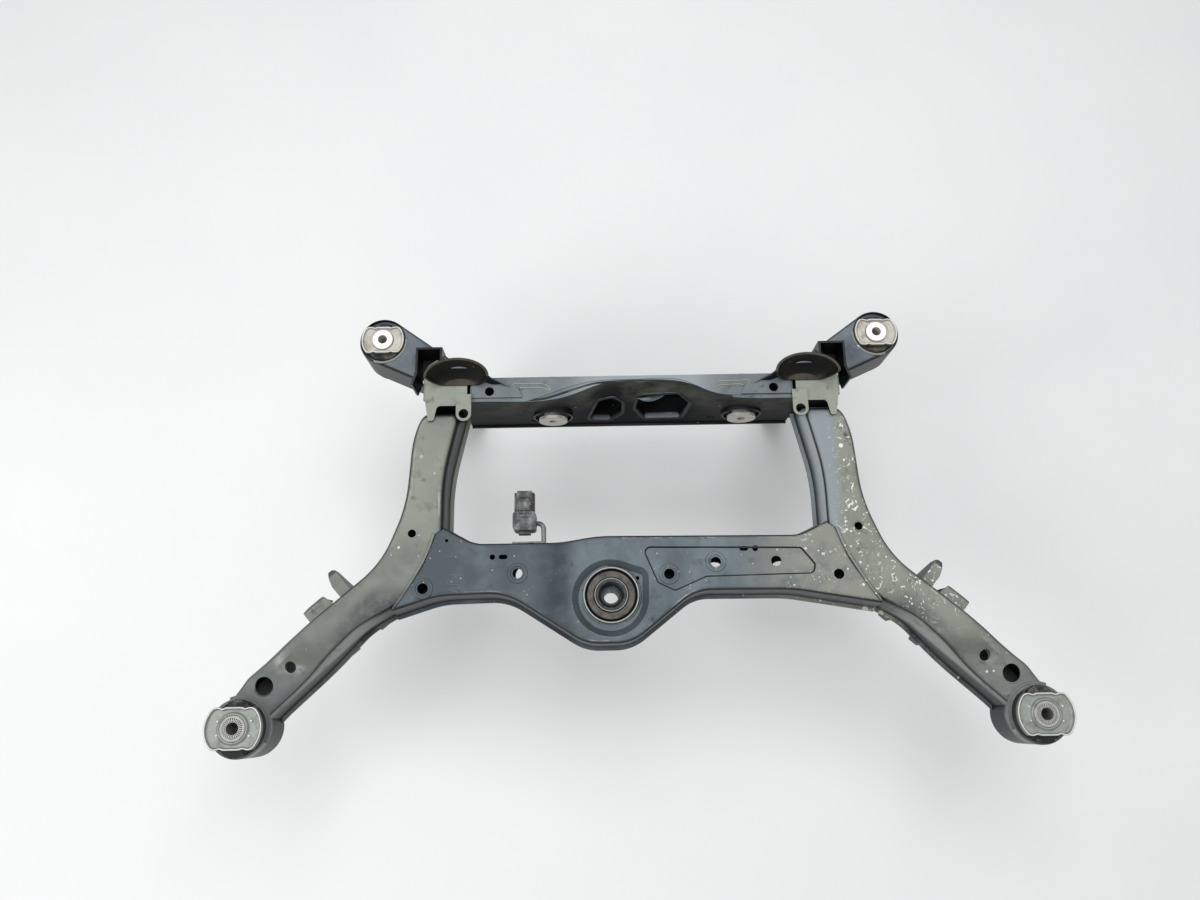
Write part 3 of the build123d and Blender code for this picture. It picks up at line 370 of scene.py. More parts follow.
# %% Finish: plated, turned and moulded pieces
def worn_metal(name, base, bloom, stain_and_side_shade, metal, rough, grain_mm=5.0, stain_share=0.35, painted_side_tone=None):
    """Metal with a cloudy bloom and darker stains, a painted tone on its steep sides (painted shade in the
    stain colour by default), and a fine grain.
    """
    finish, tree, place = new_finish(name)
    colour = lay_over(tree, linear(base),
                      (linear(bloom), patches(tree, place, 9, 0.35, 0.65, detail=8.0)),
                      (linear(stain_and_side_shade),
                       patches(tree, place, 16, 0.72 - stain_share, 0.9 - stain_share, detail=9.0)),
                      # painted shade: steep sides take the side colour, the darker stain colour unless
                      # another is given
                      (linear(painted_side_tone or stain_and_side_shade), facing_up(tree, 0.75, 0.2)))
    grain = add_node(tree, "ShaderNodeTexNoise", {"Vector": place, "Scale": 1000 / grain_mm, "Detail": 8.0})
    relief = add_node(tree, "ShaderNodeBump",
                      {"Strength": 0.35, "Distance": 0.0003, "Height": grain.outputs[0]})
    spread = add_node(tree, "ShaderNodeMapRange", {"Value": grain.outputs[0], "To Min": rough - 0.1,
                                                   "To Max": rough + 0.15}).outputs[0]
    body = add_node(tree, "ShaderNodeBsdfPrincipled", {"Base Color": colour, "Roughness": spread,
                                                       "Metallic": metal, "Normal": relief.outputs[0]})
    add_node(tree, "ShaderNodeOutputMaterial", {0: body.outputs[0]})
    return finish


def dusty_moulding(name, base, worn, dust, dust_share, rough, grain_mm=2.5, ring=None):
    """Moulded rubber or nylon: a mottled base, dust on top in patches, and black outside a round zone."""
    finish, tree, place = new_finish(name)
    layers = [(linear(worn), patches(tree, place, 14, 0.4, 0.7, detail=7.0)),
              (linear(dust), facing_up(tree, 0.3, 0.9),
               patches(tree, place, 12, 0.75 - dust_share, 1.0 - dust_share, detail=8.0))]
    if ring:
        centre, start, end = ring
        layers.append((linear("#0c0d0e"), round_zone(tree, place, centre, start, end)))
    colour = lay_over(tree, linear(base), *layers)
    grain = add_node(tree, "ShaderNodeTexNoise", {"Vector": place, "Scale": 1000 / grain_mm, "Detail": 6.0})
    relief = add_node(tree, "ShaderNodeBump",
                      {"Strength": 0.5, "Distance": 0.0004, "Height": grain.outputs[0]})
    body = add_node(tree, "ShaderNodeBsdfPrincipled", {"Base Color": colour, "Roughness": rough,
                                                       "Normal": relief.outputs[0], "IOR": 1.52})
    add_node(tree, "ShaderNodeOutputMaterial", {0: body.outputs[0]})
    return finish


zinc_front = worn_metal("zinc_plated_steel_stamped", "#8c918b", "#999d97", "#6f756f", 0.25, 0.48,
                        stain_share=0.2)
zinc_rear = worn_metal("zinc_plated_steel_stamped_warm", "#aeaca1", "#bab8ae", "#85827a", 0.25, 0.5,
                       stain_share=0.2)
core_front = worn_metal("turned_steel_core_dull", "#9b9c95", "#adaea8", "#74766f", 0.1, 0.5, grain_mm=2.0,
                        stain_share=0.15)
core_rear = worn_metal("turned_steel_core_bright", "#ebeae6", "#f4f4f2", "#c9c8c2", 0.2, 0.4,
                       stain_share=0.05)
disc_steel = worn_metal("turned_steel_disc_pale", "#b4b3aa", "#c6c5bc", "#83827a", 0.1, 0.5, stain_share=0.25,
                        painted_side_tone="#b9b8af")
# bright zinc for the worn dimple tops and teeth, and for the painted highlight beads on the plate rims
bright_edge = worn_metal("worn_bright_zinc_and_painted_highlight", "#d3d6d2", "#e0e2df", "#a9ada9", 0.2, 0.4, stain_share=0.15,
                         painted_side_tone="#8d918d")
sleeve_steel = worn_metal("turned_steel_sleeve_dark", "#2a2e30", "#3a3e40", "#141719", 0.4, 0.42)
rubber = dusty_moulding("moulded_natural_rubber", "#0d0e10", "#191b1d", "#4d4e4a", 0.2, 0.7)
mount_rubber = dusty_moulding("moulded_rubber_dusty", "#0e0f10", "#232322", "#66655f", 0.36, 0.75)
bush_rubber = dusty_moulding("moulded_rubber_brown_dust", "#1d1c1a", "#38352f", "#59554e", 0.42, 0.6,
                             ring=(diff_bush, 30.5, 32.5))
plastic = dusty_moulding("moulded_black_nylon", "#08090a", "#15181a", "#7b8285", 0.3, 0.42, grain_mm=1.2)
rod_coat = dusty_moulding("coated_steel_rod", "#26282a", "#3c3f40", "#777b7a", 0.4, 0.4)
print("metals and mouldings ready")

# %% [markdown]
# Each solid takes the finish of what it is on the real frame. The solids keep their shape and place;
# only their finish is set here.

# %% Give each solid its finish
def finish_for(name):
    """The finish of a solid, by its name."""
    if name == "front_diff_bush_rubber":
        return bush_rubber
    if name == "front_diff_bush_sleeve":
        return sleeve_steel
    if name.endswith("mount_rubber"):
        return mount_rubber
    if "rubber" in name:
        return rubber
    if name.endswith("mount_plate"):
        return zinc_front if "front" in name else zinc_rear
    if name.endswith("mount_core"):
        return core_front if "front" in name else core_rear
    if name.endswith("bush_inner"):
        return disc_steel
    if name.endswith("bush_outer"):
        return black_coat
    if name.startswith("sensor"):
        return rod_coat if name.endswith("bracket") else plastic
    if "link_bracket" in name:
        return black_coat
    if "link_cup" in name:
        return cup_finish
    if "side_member" in name or "arm_bracket" in name or "front_mount_housing" in name:
        return rail_left if name.startswith("left") else rail_right
    if "front_crossmember" in name or name == "front_diff_bush_housing":
        return cross_finish
    if "corner" in name:
        return corner_finish
    if "horn" in name or "rear_mount_housing" in name:
        return horn_finish
    if name == "rear_crossmember_rear":
        return black_coat
    return rear_finish


for name, node in nodes.items():
    node.data.materials.clear()
    node.data.materials.append(finish_for(name))
print("finished", len(nodes), "solids")

# %% [markdown]
# The fine pieces are surfaces that numpy computes as grids of points. A grid whose rows and columns
# both close makes a ring; an open one gets a fan of triangles over each end. The signed volume of
# the closed surface tells whether its faces look outward, and they are turned when it is negative.

# %% Surfaces from grids of points
def closed_grid(points, rows_close=True):
    """Faces over a grid whose columns always close; open rows end in a fan of triangles round their mean."""
    rows, columns = points.shape[:2]
    flat = points.reshape(-1, 3)
    row = np.arange(rows if rows_close else rows - 1)
    first = row[:, None] * columns + np.arange(columns)
    after = row[:, None] * columns + (np.arange(columns) + 1) % columns
    step = ((row + 1) % rows - row)[:, None] * columns
    faces = np.stack([first, after, after + step, first + step], axis=-1).reshape(-1, 4).tolist()
    if not rows_close:
        middle = len(flat)
        flat = np.vstack([flat, points[0].mean(axis=0), points[-1].mean(axis=0)])
        last = (rows - 1) * columns
        for j in range(columns):
            k = (j + 1) % columns
            faces.append([middle, k, j])
            faces.append([middle + 1, last + j, last + k])
    volume = 0.0
    for face in faces:
        for a, b in zip(face[1:-1], face[2:]):
            volume += np.dot(flat[face[0]], np.cross(flat[a], flat[b]))
    if volume < 0:
        faces = [face[::-1] for face in faces]
    return flat, faces


def place_piece(name, parts, finish, replaced=None):
    """One object from several closed surfaces given in millimetres, smooth shaded, riding with the frame."""
    vertices, faces = [], []
    for part_vertices, part_faces in parts:
        shift = sum(len(block) for block in vertices)
        vertices.append(part_vertices * mm)
        faces += [[index + shift for index in face] for face in part_faces]
    mesh = bpy.data.meshes.new(name)
    mesh.from_pydata(np.vstack(vertices).tolist(), [], faces)
    mesh.polygons.foreach_set("use_smooth", [True] * len(faces))
    mesh.materials.append(finish)
    piece = bpy.data.objects.new(name, mesh)
    bpy.context.scene.collection.objects.link(piece)
    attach(piece, "root")
    if replaced:
        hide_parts(replaced)
    return piece


def smooth_path(corners, step_mm, closed=False):
    """A smooth curve through the corners, cut into even steps along its length.

    From p1 to p2 it is the cubic in t that passes both in the directions p2 - p0 and p3 - p1.
    """
    knots = np.asarray(corners, float)
    around = np.vstack([knots[-1], knots, knots[:2]]) if closed else np.vstack(
        [2 * knots[0] - knots[1], knots, 2 * knots[-1] - knots[-2]])
    t = np.linspace(0, 1, 24, endpoint=False)[:, None]
    curve = []
    for p0, p1, p2, p3 in zip(around[:-3], around[1:-2], around[2:-1], around[3:]):
        curve.append(0.5 * (2 * p1 + (p2 - p0) * t + (2 * p0 - 5 * p1 + 4 * p2 - p3) * t ** 2
                            + (3 * p1 - p0 - 3 * p2 + p3) * t ** 3))
    curve = np.vstack(curve + [knots[:1] if closed else knots[-1:]])
    run = np.concatenate([[0], np.cumsum(np.linalg.norm(np.diff(curve, axis=0), axis=1))])
    count = max(4, int(run[-1] / step_mm))
    stations = np.linspace(0, run[-1], count, endpoint=not closed)
    return np.stack([np.interp(stations, run, curve[:, k]) for k in range(3)], axis=1)


def sweep(path, up, profile, closed=False, swell=1.0):
    """Point (i, j) = path[i] + swell[i] (profile[j, 0] across[i] + profile[j, 1] up); across = along x up."""
    along = np.roll(path, -1, axis=0) - np.roll(path, 1, axis=0) if closed else np.gradient(path, axis=0)
    across = np.cross(along, up)
    across /= np.linalg.norm(across, axis=1)[:, None]
    size = np.broadcast_to(swell, len(path))[:, None, None]
    profile = np.asarray(profile, float)
    sections = profile[None, :, :1] * across[:, None] + profile[None, :, 1:] * np.asarray(up, float)
    return closed_grid(path[:, None] + size * sections, closed)


def oval(half_width, half_height, count=10):
    """The points (half_width cos a, half_height sin a) round an ellipse, as a profile."""
    turn = np.linspace(0, 2 * np.pi, count, endpoint=False)
    return np.stack([half_width * np.cos(turn), half_height * np.sin(turn)], axis=1)


def arc(centre, radius, start_deg, end_deg, step_mm):
    """The points centre + radius (cos a, sin a) round an upright axis, from one angle to another."""
    count = max(6, int(abs(math.radians(end_deg - start_deg)) * radius / step_mm))
    whole = abs(end_deg - start_deg) >= 360
    turn = np.radians(np.linspace(start_deg, end_deg, count, endpoint=not whole))
    return np.stack([centre[0] + radius * np.cos(turn), centre[1] + radius * np.sin(turn),
                     np.full(count, centre[2])], axis=1)


def mirrored(path):
    """The same path on the left-hand side, run backwards."""
    return (path * (-1, 1, 1))[::-1]


print("surface helpers ready")

# %% [markdown]
# The plate on top of each body mount is stamped: a shallow dish with two round sides and two nearly
# straight ones, and the straight sides wave in twice where the tool gripped the sheet. The rim stands
# up with a bright bead along its crest, a painted highlight, the dish inside it is dull, a collar rises
# round the core, and four dimples mark where the rubber is keyed; the front ones are worn bright on
# top. The solid plate gives its size; this one adds the rolled rim, its highlight bead, the waves, the
# collar and the dimples.

# %% Stamped mount plates
def plate_outline(turn, radius, depth, wave):
    """R(t): the circle and the waved flats, joined by R = (Rc^-p + Rf^-p)^(-1/p) for rounded corners."""
    side = np.maximum(np.abs(np.sin(turn)), 1e-3)
    from_middle = np.abs(depth / 2 / side * np.cos(turn))
    notch = wave * np.exp(-((from_middle - 0.43 * radius) / (0.1 * radius)) ** 2)
    waved = (depth / 2 - notch) / side
    power = 22.0
    return (radius ** -power + waved ** -power) ** (-1 / power)


def stamped_plate(name, centre, radius, depth, hole, collar_z, floor_z, rim_z, foot_z, dimples, dimple_height,
                  wave, finish):
    """The profile runs from the hole over collar and dish, up to the rim, down the skirt and back below.

    Each point of it lies at hole + share (R - hole) + offset, with R the outline's distance in that
    direction. A dimple of height h adds h exp(-d^2 / 2 s^2) at the distance d from its middle.
    """
    turn = np.linspace(0, 2 * np.pi, 320, endpoint=False)
    outline = plate_outline(turn, radius, depth, wave)
    slope = (collar_z - floor_z) / 3
    stations = [(0, 0.0, foot_z + 1.5), (0, 0.0, collar_z - 0.6), (0, 0.3, collar_z - 0.1),
                (0, 1.0, collar_z), (0, 1.9, collar_z - 0.3), (0, 2.6, floor_z + 2 * slope - 0.2),
                (0, 3.4, floor_z + slope - 0.1), (0, 4.4, floor_z)]
    stations += [(share, 4.8 - 9.4 * share, floor_z) for share in np.linspace(0.05, 1, 26)]
    stations += [(1, -3.6, floor_z + 0.7), (1, -2.9, (floor_z + rim_z) / 2), (1, -2.3, rim_z - 0.4),
                 (1, -1.6, rim_z), (1, -0.8, rim_z - 0.1), (1, -0.1, rim_z - 0.8), (1, 0.0, rim_z - 1.8),
                 (1, 0.0, foot_z + 0.4), (1, -0.6, foot_z), (1, -1.6, foot_z), (1, -2.2, foot_z + 0.5),
                 (1, -4.5, foot_z + 1.5)]
    share, offset, height = np.array(stations).T
    reach = hole + share[None] * (outline[:, None] - hole) + offset[None]
    x = reach * np.cos(turn)[:, None]
    y = reach * np.sin(turn)[:, None]
    z = np.broadcast_to(height, x.shape).copy()
    for dimple_x, dimple_y in dimples:
        bump = dimple_height * np.exp(-((x - dimple_x) ** 2 + (y - dimple_y) ** 2) / (2 * dimple_spread ** 2))
        z += np.where(np.abs(height - floor_z) < 0.1, bump, 0)
    points = np.stack([x + centre[0], y + centre[1], z], axis=-1)
    # painted highlight: a bright bead along the rim's crest
    crest = outline - 1.4
    rim = np.stack([crest * np.cos(turn) + centre[0], crest * np.sin(turn) + centre[1],
                    np.full(len(turn), rim_z - 0.2)], axis=1)
    rim_highlight_bead = sweep(rim, upright, oval(0.75, 0.45, 8), True)
    place_piece(f"{name}_plate_rim_highlight", [rim_highlight_bead], bright_edge)
    return place_piece(f"{name}_stamped_plate", [closed_grid(points)], finish,
                       f"{name}_mount_plate")


dimple_spread = 1.3
front_dimples = [(-20.5, 9.5), (22.5, 9.5), (21, -9), (-20.5, -8)]
rear_dimples = [(-17.5, 4.5), (17.5, 4.5), (17, -7.5), (-17, -7.5)]
plates, dimple_tops = [], []
for side, sign in (("left", -1), ("right", 1)):
    for x, y in front_dimples:
        top_ring = arc((front_mount_x * sign + x, y, -3.5), 0.7, 0, 360, 0.4)
        dimple_tops.append(sweep(top_ring, upright, oval(0.75, 0.6, 8), True))
    plates.append(stamped_plate(
        f"{side}_front", (front_mount_x * sign, 0), radius=37.4, depth=54, hole=16.9, collar_z=-0.4,
        floor_z=-4.4, rim_z=-0.6, foot_z=-7.0, dimples=front_dimples, dimple_height=1.2, wave=1.7,
        finish=zinc_front))
    plates.append(stamped_plate(
        f"{side}_rear", (rear_mount_x * sign, rear_mount_y), radius=30.4, depth=40, hole=14.9, collar_z=-3.4,
        floor_z=-4.0, rim_z=-0.8, foot_z=-7.0, dimples=rear_dimples, dimple_height=-0.7, wave=1.3,
        finish=zinc_rear))
place_piece("front_plate_dimple_tops", dimple_tops, bright_edge)
print("plates:", [plate.name for plate in plates])

# %% [markdown]
# The front cores carry a ring of radial teeth that bite into the body when the bolt is tight. The
# gaps between them hold dark dirt, so the teeth stand out as fine pale spokes.

# %% Teeth on the front cores
def tooth(centre, inner, outer, angle):
    """A low ridge along one spoke, from the inner to the outer radius, pointed at both ends."""
    spoke = np.array([math.cos(angle), math.sin(angle), 0])
    reach = np.linspace(inner, outer, 5)
    path = np.array(centre) + reach[:, None] * spoke
    return sweep(path, upright, oval(0.62, 0.5, 6), False, (0.3, 1, 1, 1, 0.3))


teeth_inner, teeth_outer, teeth_count = 8.4, 13.4, 30
teeth = [tooth((front_mount_x * sign, 0, 0.1), teeth_inner, teeth_outer, turn) for sign in (1, -1)
         for turn in np.linspace(0, 2 * np.pi, teeth_count, endpoint=False)]
dirt = [sweep(arc((front_mount_x * sign, 0, -0.1), 10.8, 0, 360, 1.0), upright, oval(2.5, 0.3, 8), True)
        for sign in (1, -1)]
place_piece("front_core_serrations", teeth, bright_edge)
place_piece("front_core_dirt", dirt, sleeve_steel)
print("teeth:", len(teeth))

# %% [markdown]
# Below the straight sides of each plate the moulded rubber shows. In front it is a black crescent
# with a ragged edge of moulding flash; on the rear mounts three lobes stand side by side, the middle
# one with a slot. All of it is soft edged and dusty on top.

# %% Rubber crescents and lobes
def ragged_crescent(centre, inner, outer, start_deg, end_deg, low_z, high_z, seed):
    """A band along an arc; its outer edge moves in and out by a few waves of random phase."""
    path = arc(centre, inner, start_deg, end_deg, 0.6)
    phase = np.random.default_rng(seed).uniform(0, 2 * np.pi, 5)
    along = np.linspace(0, 1, len(path))
    rag = sum(np.sin(2 * np.pi * rate * along + shift) * size
              for rate, shift, size in zip((7, 13, 23, 37, 61), phase, (0.5, 0.45, 0.4, 0.3, 0.2)))
    taper = np.sqrt(np.clip(np.sin(np.pi * along), 0.02, 1))
    width = (outer - inner) * taper + rag * 0.6
    radial = path - np.array(centre)
    radial[:, 2] = 0
    radial /= np.linalg.norm(radial, axis=1)[:, None]
    profile = [(0, high_z), (0.55, high_z), (0.85, high_z - 1.2), (1, high_z - 3), (0.96, low_z), (0, low_z)]
    points = np.stack([path + radial * (share * width)[:, None] + (0, 0, height)
                       for share, height in profile], axis=1)
    return closed_grid(points, False)


def lobe(centre, inner, outer, start_deg, end_deg, low_z, high_z):
    """A block between two radii and two angles with softened edges."""
    path = arc(centre, (inner + outer) / 2, start_deg, end_deg, 0.8)
    half, round_off = (outer - inner) / 2, 0.8
    profile = [(-half, low_z), (half, low_z), (half, high_z - round_off), (half - round_off, high_z),
               (round_off - half, high_z), (-half, high_z - round_off)]
    return sweep(path, upright, profile)


soft_parts, black_parts = [], []
for sign in (1, -1):
    front, rear = (front_mount_x * sign, 0, 0), (rear_mount_x * sign, rear_mount_y, 0)
    black_parts.append(ragged_crescent(front, 24, 36.6, -138, -42, -20, -9, 3 + sign))
    soft_parts.append(ragged_crescent(front, 24, 36.4, 44, 136, -20, -11, 9 + sign))
    for facing in (-90, 90):
        for middle, half_span in ((facing - 43, 17), (facing, 19), (facing + 43, 17)):
            soft_parts.append(lobe(rear, 18, 27.6, middle - half_span, middle + half_span, -13.6, -9.5))
    for shift in (0, 1):
        black_parts.append(lobe(rear, 25.1, 26.3, -108 + 180 * shift, -72 + 180 * shift, -10.5, -9.2))
place_piece("mount_rubber_lobes", soft_parts, mount_rubber)
place_piece("mount_rubber_flash", black_parts, rubber)
print("rubber parts:", len(soft_parts) + len(black_parts))

# %% [markdown]
# The pressings are joined by arc welds. A bead freezes in small scales, one for each pulse of the
# wire, so its width swells and shrinks along the seam; the eye knows a weld by that rhythm. The long
# seams run where the crossmember laps onto each rail, round the mount tubes, round the bush tube,
# along the brackets and along the corner plates.

# %% Weld beads
def weld(path, half_width=2.2, half_height=1.3, pitch=3.2, seed=1, closed=False):
    """An oval swept along the seam, swelling by a rounded saw wave of the pitch and by a little chance."""
    run = np.arange(len(path)) * np.linalg.norm(path[1] - path[0])
    scale = (run / pitch) % 1.0
    chance = np.random.default_rng(seed).normal(0, 0.04, len(path))
    swell = 0.88 + 0.24 * np.sqrt(scale) * (1 - 0.6 * scale ** 3) + chance
    if not closed:
        swell[[0, -1]] *= 0.5
    return sweep(path, upright, oval(half_width, half_height), closed, swell)


seams = [
    smooth_path([(320, 146, 8.5), (303, 172, 10.5), (284.5, 204, 10.5), (275, 226, 10.5),
                 (268.5, 246, 10.5)], 0.8),
    arc((front_mount_x, 0, -25), 39.8, 68, 208, 0.8),
    arc((rear_mount_x, rear_mount_y, -4.5), 33.4, 176, 292, 0.8),
    smooth_path([(372, 178, -9), (392, 162, -18), (404, 152, -22)], 0.8),
    smooth_path([(406, 150, -22), (418, 140, -24), (428, 132, -25)], 0.8),
    smooth_path([(286.5, 431, 10.5), (287, 450, 10.2), (287, 468, 9.6)], 0.8),
    smooth_path([(288, 472, -5), (286, 486, -5), (272, 497, -5)], 0.8),
    smooth_path([(220, 434.5, 11.6), (221, 448, 11.6), (220, 462, 11.6)], 0.8),
]
for side, turned in (("right", lambda path: path), ("left", mirrored)):
    beads = [weld(turned(path), seed=count) for count, path in enumerate(seams)]
    place_piece(f"{side}_weld_beads", beads, rail_right if side == "right" else rail_left)
bush_seams = [weld(arc((*diff_bush, 6.6), 38.4, start, end, 0.7), 1.5, 1.1, 2.6, seed=start + 70)
              for start, end in ((-62, 62), (95, 170), (196, 246))]
place_piece("bush_weld_beads", bush_seams, cross_finish)
print("seams:", 2 * len(seams) + len(bush_seams))

# %% [markdown]
# The two windows in the rear crossmember are flanged: the sheet rolls rearward round each opening,
# which stiffens it and leaves a lit lip on the upper edge. The face itself sweeps back towards the
# top, so each point of a lip first finds the face behind it.

# %% Rolled lips of the windows
face_foot_y, face_foot_z, face_top_z = 432, -112, 8
face_top_edge = np.array([(-236.7, 428), (-130, 429), (-100, 433), (-72, 442), (-38, 454), (14, 455),
                          (66, 454), (100, 442), (128, 433), (158, 429), (236.7, 428)], float)


def face_y(x, z):
    """The front of the face: straight at its foot, swept at its top, and a straight mix in between."""
    rise = (z - face_foot_z) / (face_top_z - face_foot_z)
    top_y = np.interp(x, face_top_edge[:, 0], face_top_edge[:, 1])
    return face_foot_y + (top_y - face_foot_y) * rise


def rounded_outline(corners, radius, step_mm=1.2):
    """A closed outline whose corners are arcs: each starts radius tan(turn / 2) before the corner."""
    corners = np.asarray(corners, float)
    points = []
    for before, here, after in zip(np.roll(corners, 1, axis=0), corners, np.roll(corners, -1, axis=0)):
        coming, going = here - before, after - here
        coming, going = coming / np.linalg.norm(coming), going / np.linalg.norm(going)
        angle = math.acos(np.clip(coming @ going, -1, 1))
        left = np.sign(coming[0] * going[1] - coming[1] * going[0])
        start = here - coming * radius * math.tan(angle / 2)
        centre = start + left * radius * np.array([-coming[1], coming[0]])
        for turn in np.linspace(0, angle * left, 8):
            spoke = start - centre
            points.append(centre + (spoke[0] * math.cos(turn) - spoke[1] * math.sin(turn),
                                    spoke[0] * math.sin(turn) + spoke[1] * math.cos(turn)))
    points = np.vstack([points, points[:1]])
    run = np.concatenate([[0], np.cumsum(np.linalg.norm(np.diff(points, axis=0), axis=1))])
    stations = np.arange(0, run[-1] - step_mm / 2, step_mm)
    return np.stack([np.interp(stations, run, points[:, k]) for k in range(2)], axis=1)


windows = [[(-61, -96), (-30, -100), (-12, -78), (-12, -48), (-24, -34), (-46, -38)],
           [(8, -66), (22, -96), (76, -94), (85, -44), (68, -24), (12, -30)]]
lip_profile = [(4.6, 0.3), (3.4, -0.5), (2.0, -0.9), (0.6, -0.6), (-0.6, 0.6), (-1.0, 2.6), (-1.0, 9.0),
               (0.4, 9.0), (0.5, 3.4), (1.4, 1.6), (4.4, 1.2)]
lips = []
for corners in windows:
    outline = rounded_outline(corners, 8)
    along = np.roll(outline, -1, axis=0) - np.roll(outline, 1, axis=0)
    along /= np.linalg.norm(along, axis=1)[:, None]
    outside = np.stack([along[:, 1], -along[:, 0]], axis=1)
    if ((outline - outline.mean(axis=0)) * outside).sum() < 0:
        outside = -outside
    sections = []
    for away, back in lip_profile:
        spot = outline + outside * away
        depth = face_y(spot[:, 0], spot[:, 1]) + back if back < 2 else face_y(*outline.T) + back
        sections.append(np.stack([spot[:, 0], depth, spot[:, 1]], axis=1))
    lips.append(closed_grid(np.stack(sections, axis=1)))
tongue_line = [(9, 446, -33), (20, 445.5, -37), (33, 447, -37), (46, 450, -33), (52, 452, -28)]
tongue_path = smooth_path(tongue_line, 1.0)
tongue_width = np.sin(np.linspace(0.12, np.pi - 0.12, len(tongue_path)))
lips.append(sweep(tongue_path, (0, 0.45, 0.89), oval(6.5, 1.3, 12), False, tongue_width))
place_piece("window_lips", lips, horn_finish)
print("lips:", len(lips))

# %% [markdown]
# Small embossed forms stiffen the flat sheet: ring bosses round some holes, a slender rib shaped
# like a key at each end of the cover, and a step line along it. The bosses and ribs are low rounded
# ridges that catch a thin line of light. The groove round the long panel and the foot of the step are
# shaded, and a flat black bead paints that shade in each.

# %% Ring bosses and ribs
bosses = []
for x, y, z, radius in ((-157, 190, 13, 7.2), (-281, 172, 13, 7.6), (43, 186, 11, 7.4), (105, 201, 11, 7.2)):
    bosses.append(sweep(arc((x, y, z), radius + 4.0, 0, 360, 0.9), upright, oval(2.4, 0.8, 10), True))
place_piece("crossmember_bosses", bosses, cross_finish)
panel = rounded_outline([(7, 223), (219, 219), (237, 196), (234, 183), (92, 181), (50, 163), (27, 174)], 8)
groove_z = 10.95
panel_path = np.column_stack([panel, np.full(len(panel), groove_z)])
# painted shade: a flat black bead in the groove round the long panel
panel_shade_bead = sweep(panel_path, upright, oval(2.1, 0.3, 8), True)
place_piece("panel_groove_painted_shade", [panel_shade_bead], black_coat)
rail_rings = []
for sign in (1, -1):
    for x, y, z, radius in ((298, 246, 10, 6.6), (455.5, 76, -22.4, 8.4), (491.5, 52.7, -24.9, 13.0)):
        edge = arc((x * sign, y, z), radius, 0, 360, 0.9)
        rail_rings.append(sweep(edge, upright, oval(0.9, 0.45, 8), True))
place_piece("hole_edges", rail_rings, rail_right)
ribs = []
for sign in (1, -1):
    key = [(165, 454, 11), (158, 447, 11), (150, 449, 11), (124, 448, 11), (112, 444.5, 11),
           (122, 453.5, 11), (150, 454.5, 11)]
    path = smooth_path([(x * sign, y, z) for x, y, z in key], 1.2, closed=True)
    ribs.append(sweep(path, upright, oval(1.1, 0.5, 8), True))
step = [(-150, 430.5, 10.0), (-125, 432.0, 10.0), (-104, 437.5, 10.0), (-80, 445.5, 10.0), (-52, 453.5, 10.0),
        (-20, 456.2, 10.0), (14, 456.8, 10.0), (50, 456.0, 10.0), (74, 452.0, 10.0), (98, 443.5, 10.0),
        (118, 435.5, 10.0), (140, 430.8, 10.0)]
# painted shade: a flat black bead along the foot of the step
step_line = sweep(smooth_path(step, 2.0), upright, oval(1.5, 0.5, 8))
place_piece("cover_ribs", ribs, corner_finish)
place_piece("cover_step_line", [step_line], black_coat)
print("bosses and ribs:", len(bosses) + len(rail_rings) + len(ribs))

# %% [markdown]
# Round the differential bush lie two bright rings: a painted highlight on the chamfer where the inner
# sleeve meets the rubber, and a bright ring on the rolled edge of the tube outside it.

# %% Bright rings of the differential bush
# painted highlight: the thin inner ring on the sleeve's chamfer
rings = [sweep(arc((*diff_bush, 12.4), 21.3, 0, 360, 0.8), upright, oval(0.55, 0.5, 8), True),
         sweep(arc((*diff_bush, 10.4), 35.8, 0, 360, 0.9), upright, oval(0.9, 0.6, 8), True)]
place_piece("bush_bright_rings", rings, core_front)
print("rings:", len(rings))

# %% [markdown]
# The seat in each link cup is a shallow pocket pressed outward, and a web of sheet runs from the
# cup's inner side down onto the cover. The web is ruled between a high edge and a low one with a
# bulged middle. The sensor's connector is locked by a loop of nylon over a wedge, and two ribs run
# along its housing.

# %% Cup seats, cup webs and the sensor's latch
seats = []
for sign in (1, -1):
    turn = np.radians(np.linspace(74, 110, 40))
    path = np.stack([(cup_x + 35.5 * np.cos(turn)) * sign, cup_y + 18.5 * np.sin(turn), np.full(40, 36.0)],
                    axis=1)
    swell = np.sqrt(np.clip(np.sin(np.linspace(0.1, np.pi - 0.1, 40)), 0, 1))
    seats.append(sweep(path, upright, oval(1.7, 1.5, 12), False, swell))
place_piece("cup_seats", seats, horn_finish)
high = smooth_path([(216.7, 470, 42), (204.8, 465.7, 38), (194.7, 458.3, 29), (181.7, 453.7, 20),
                    (168.5, 448.6, 14), (151, 445.7, 11.6)], 1.5)
webs = []
for sign in (1, -1):
    low = np.column_stack([high[:, 0] - 1, high[:, 1] - 0.38 * (high[:, 2] - 11), np.full(len(high), 10.6)])
    middle = (high + low) / 2 + (0, 1.5, -1.5)
    under = np.array([0, 1.2, -0.8])
    sheet = np.stack([high, middle, low, low + under, middle + under, high + under], axis=1) * (sign, 1, 1)
    webs.append(closed_grid(sheet, False))
place_piece("cup_webs", webs, horn_finish)
loop = [(-156, 268, 9), (-157, 280, 9.5), (-155, 291, 9.8), (-142, 291, 9.8), (-140, 280, 9.5),
        (-141, 268, 9)]
latch = [sweep(smooth_path(loop, 0.8, closed=True), upright, oval(1.3, 1.1, 10), True)]
for x in (-160.4, -136.6):
    long_rib = smooth_path([(x, 275, 7.6), (x, 285, 8.0), (x, 297, 7.6)], 0.8)
    latch.append(sweep(long_rib, upright, oval(1.0, 1.0, 8)))
for y in (266, 270.5):
    cross_rib = smooth_path([(-160, y, 9.6), (-148.5, y, 10.2), (-137, y, 9.6)], 0.8)
    latch.append(sweep(cross_rib, upright, oval(0.8, 0.8, 8)))
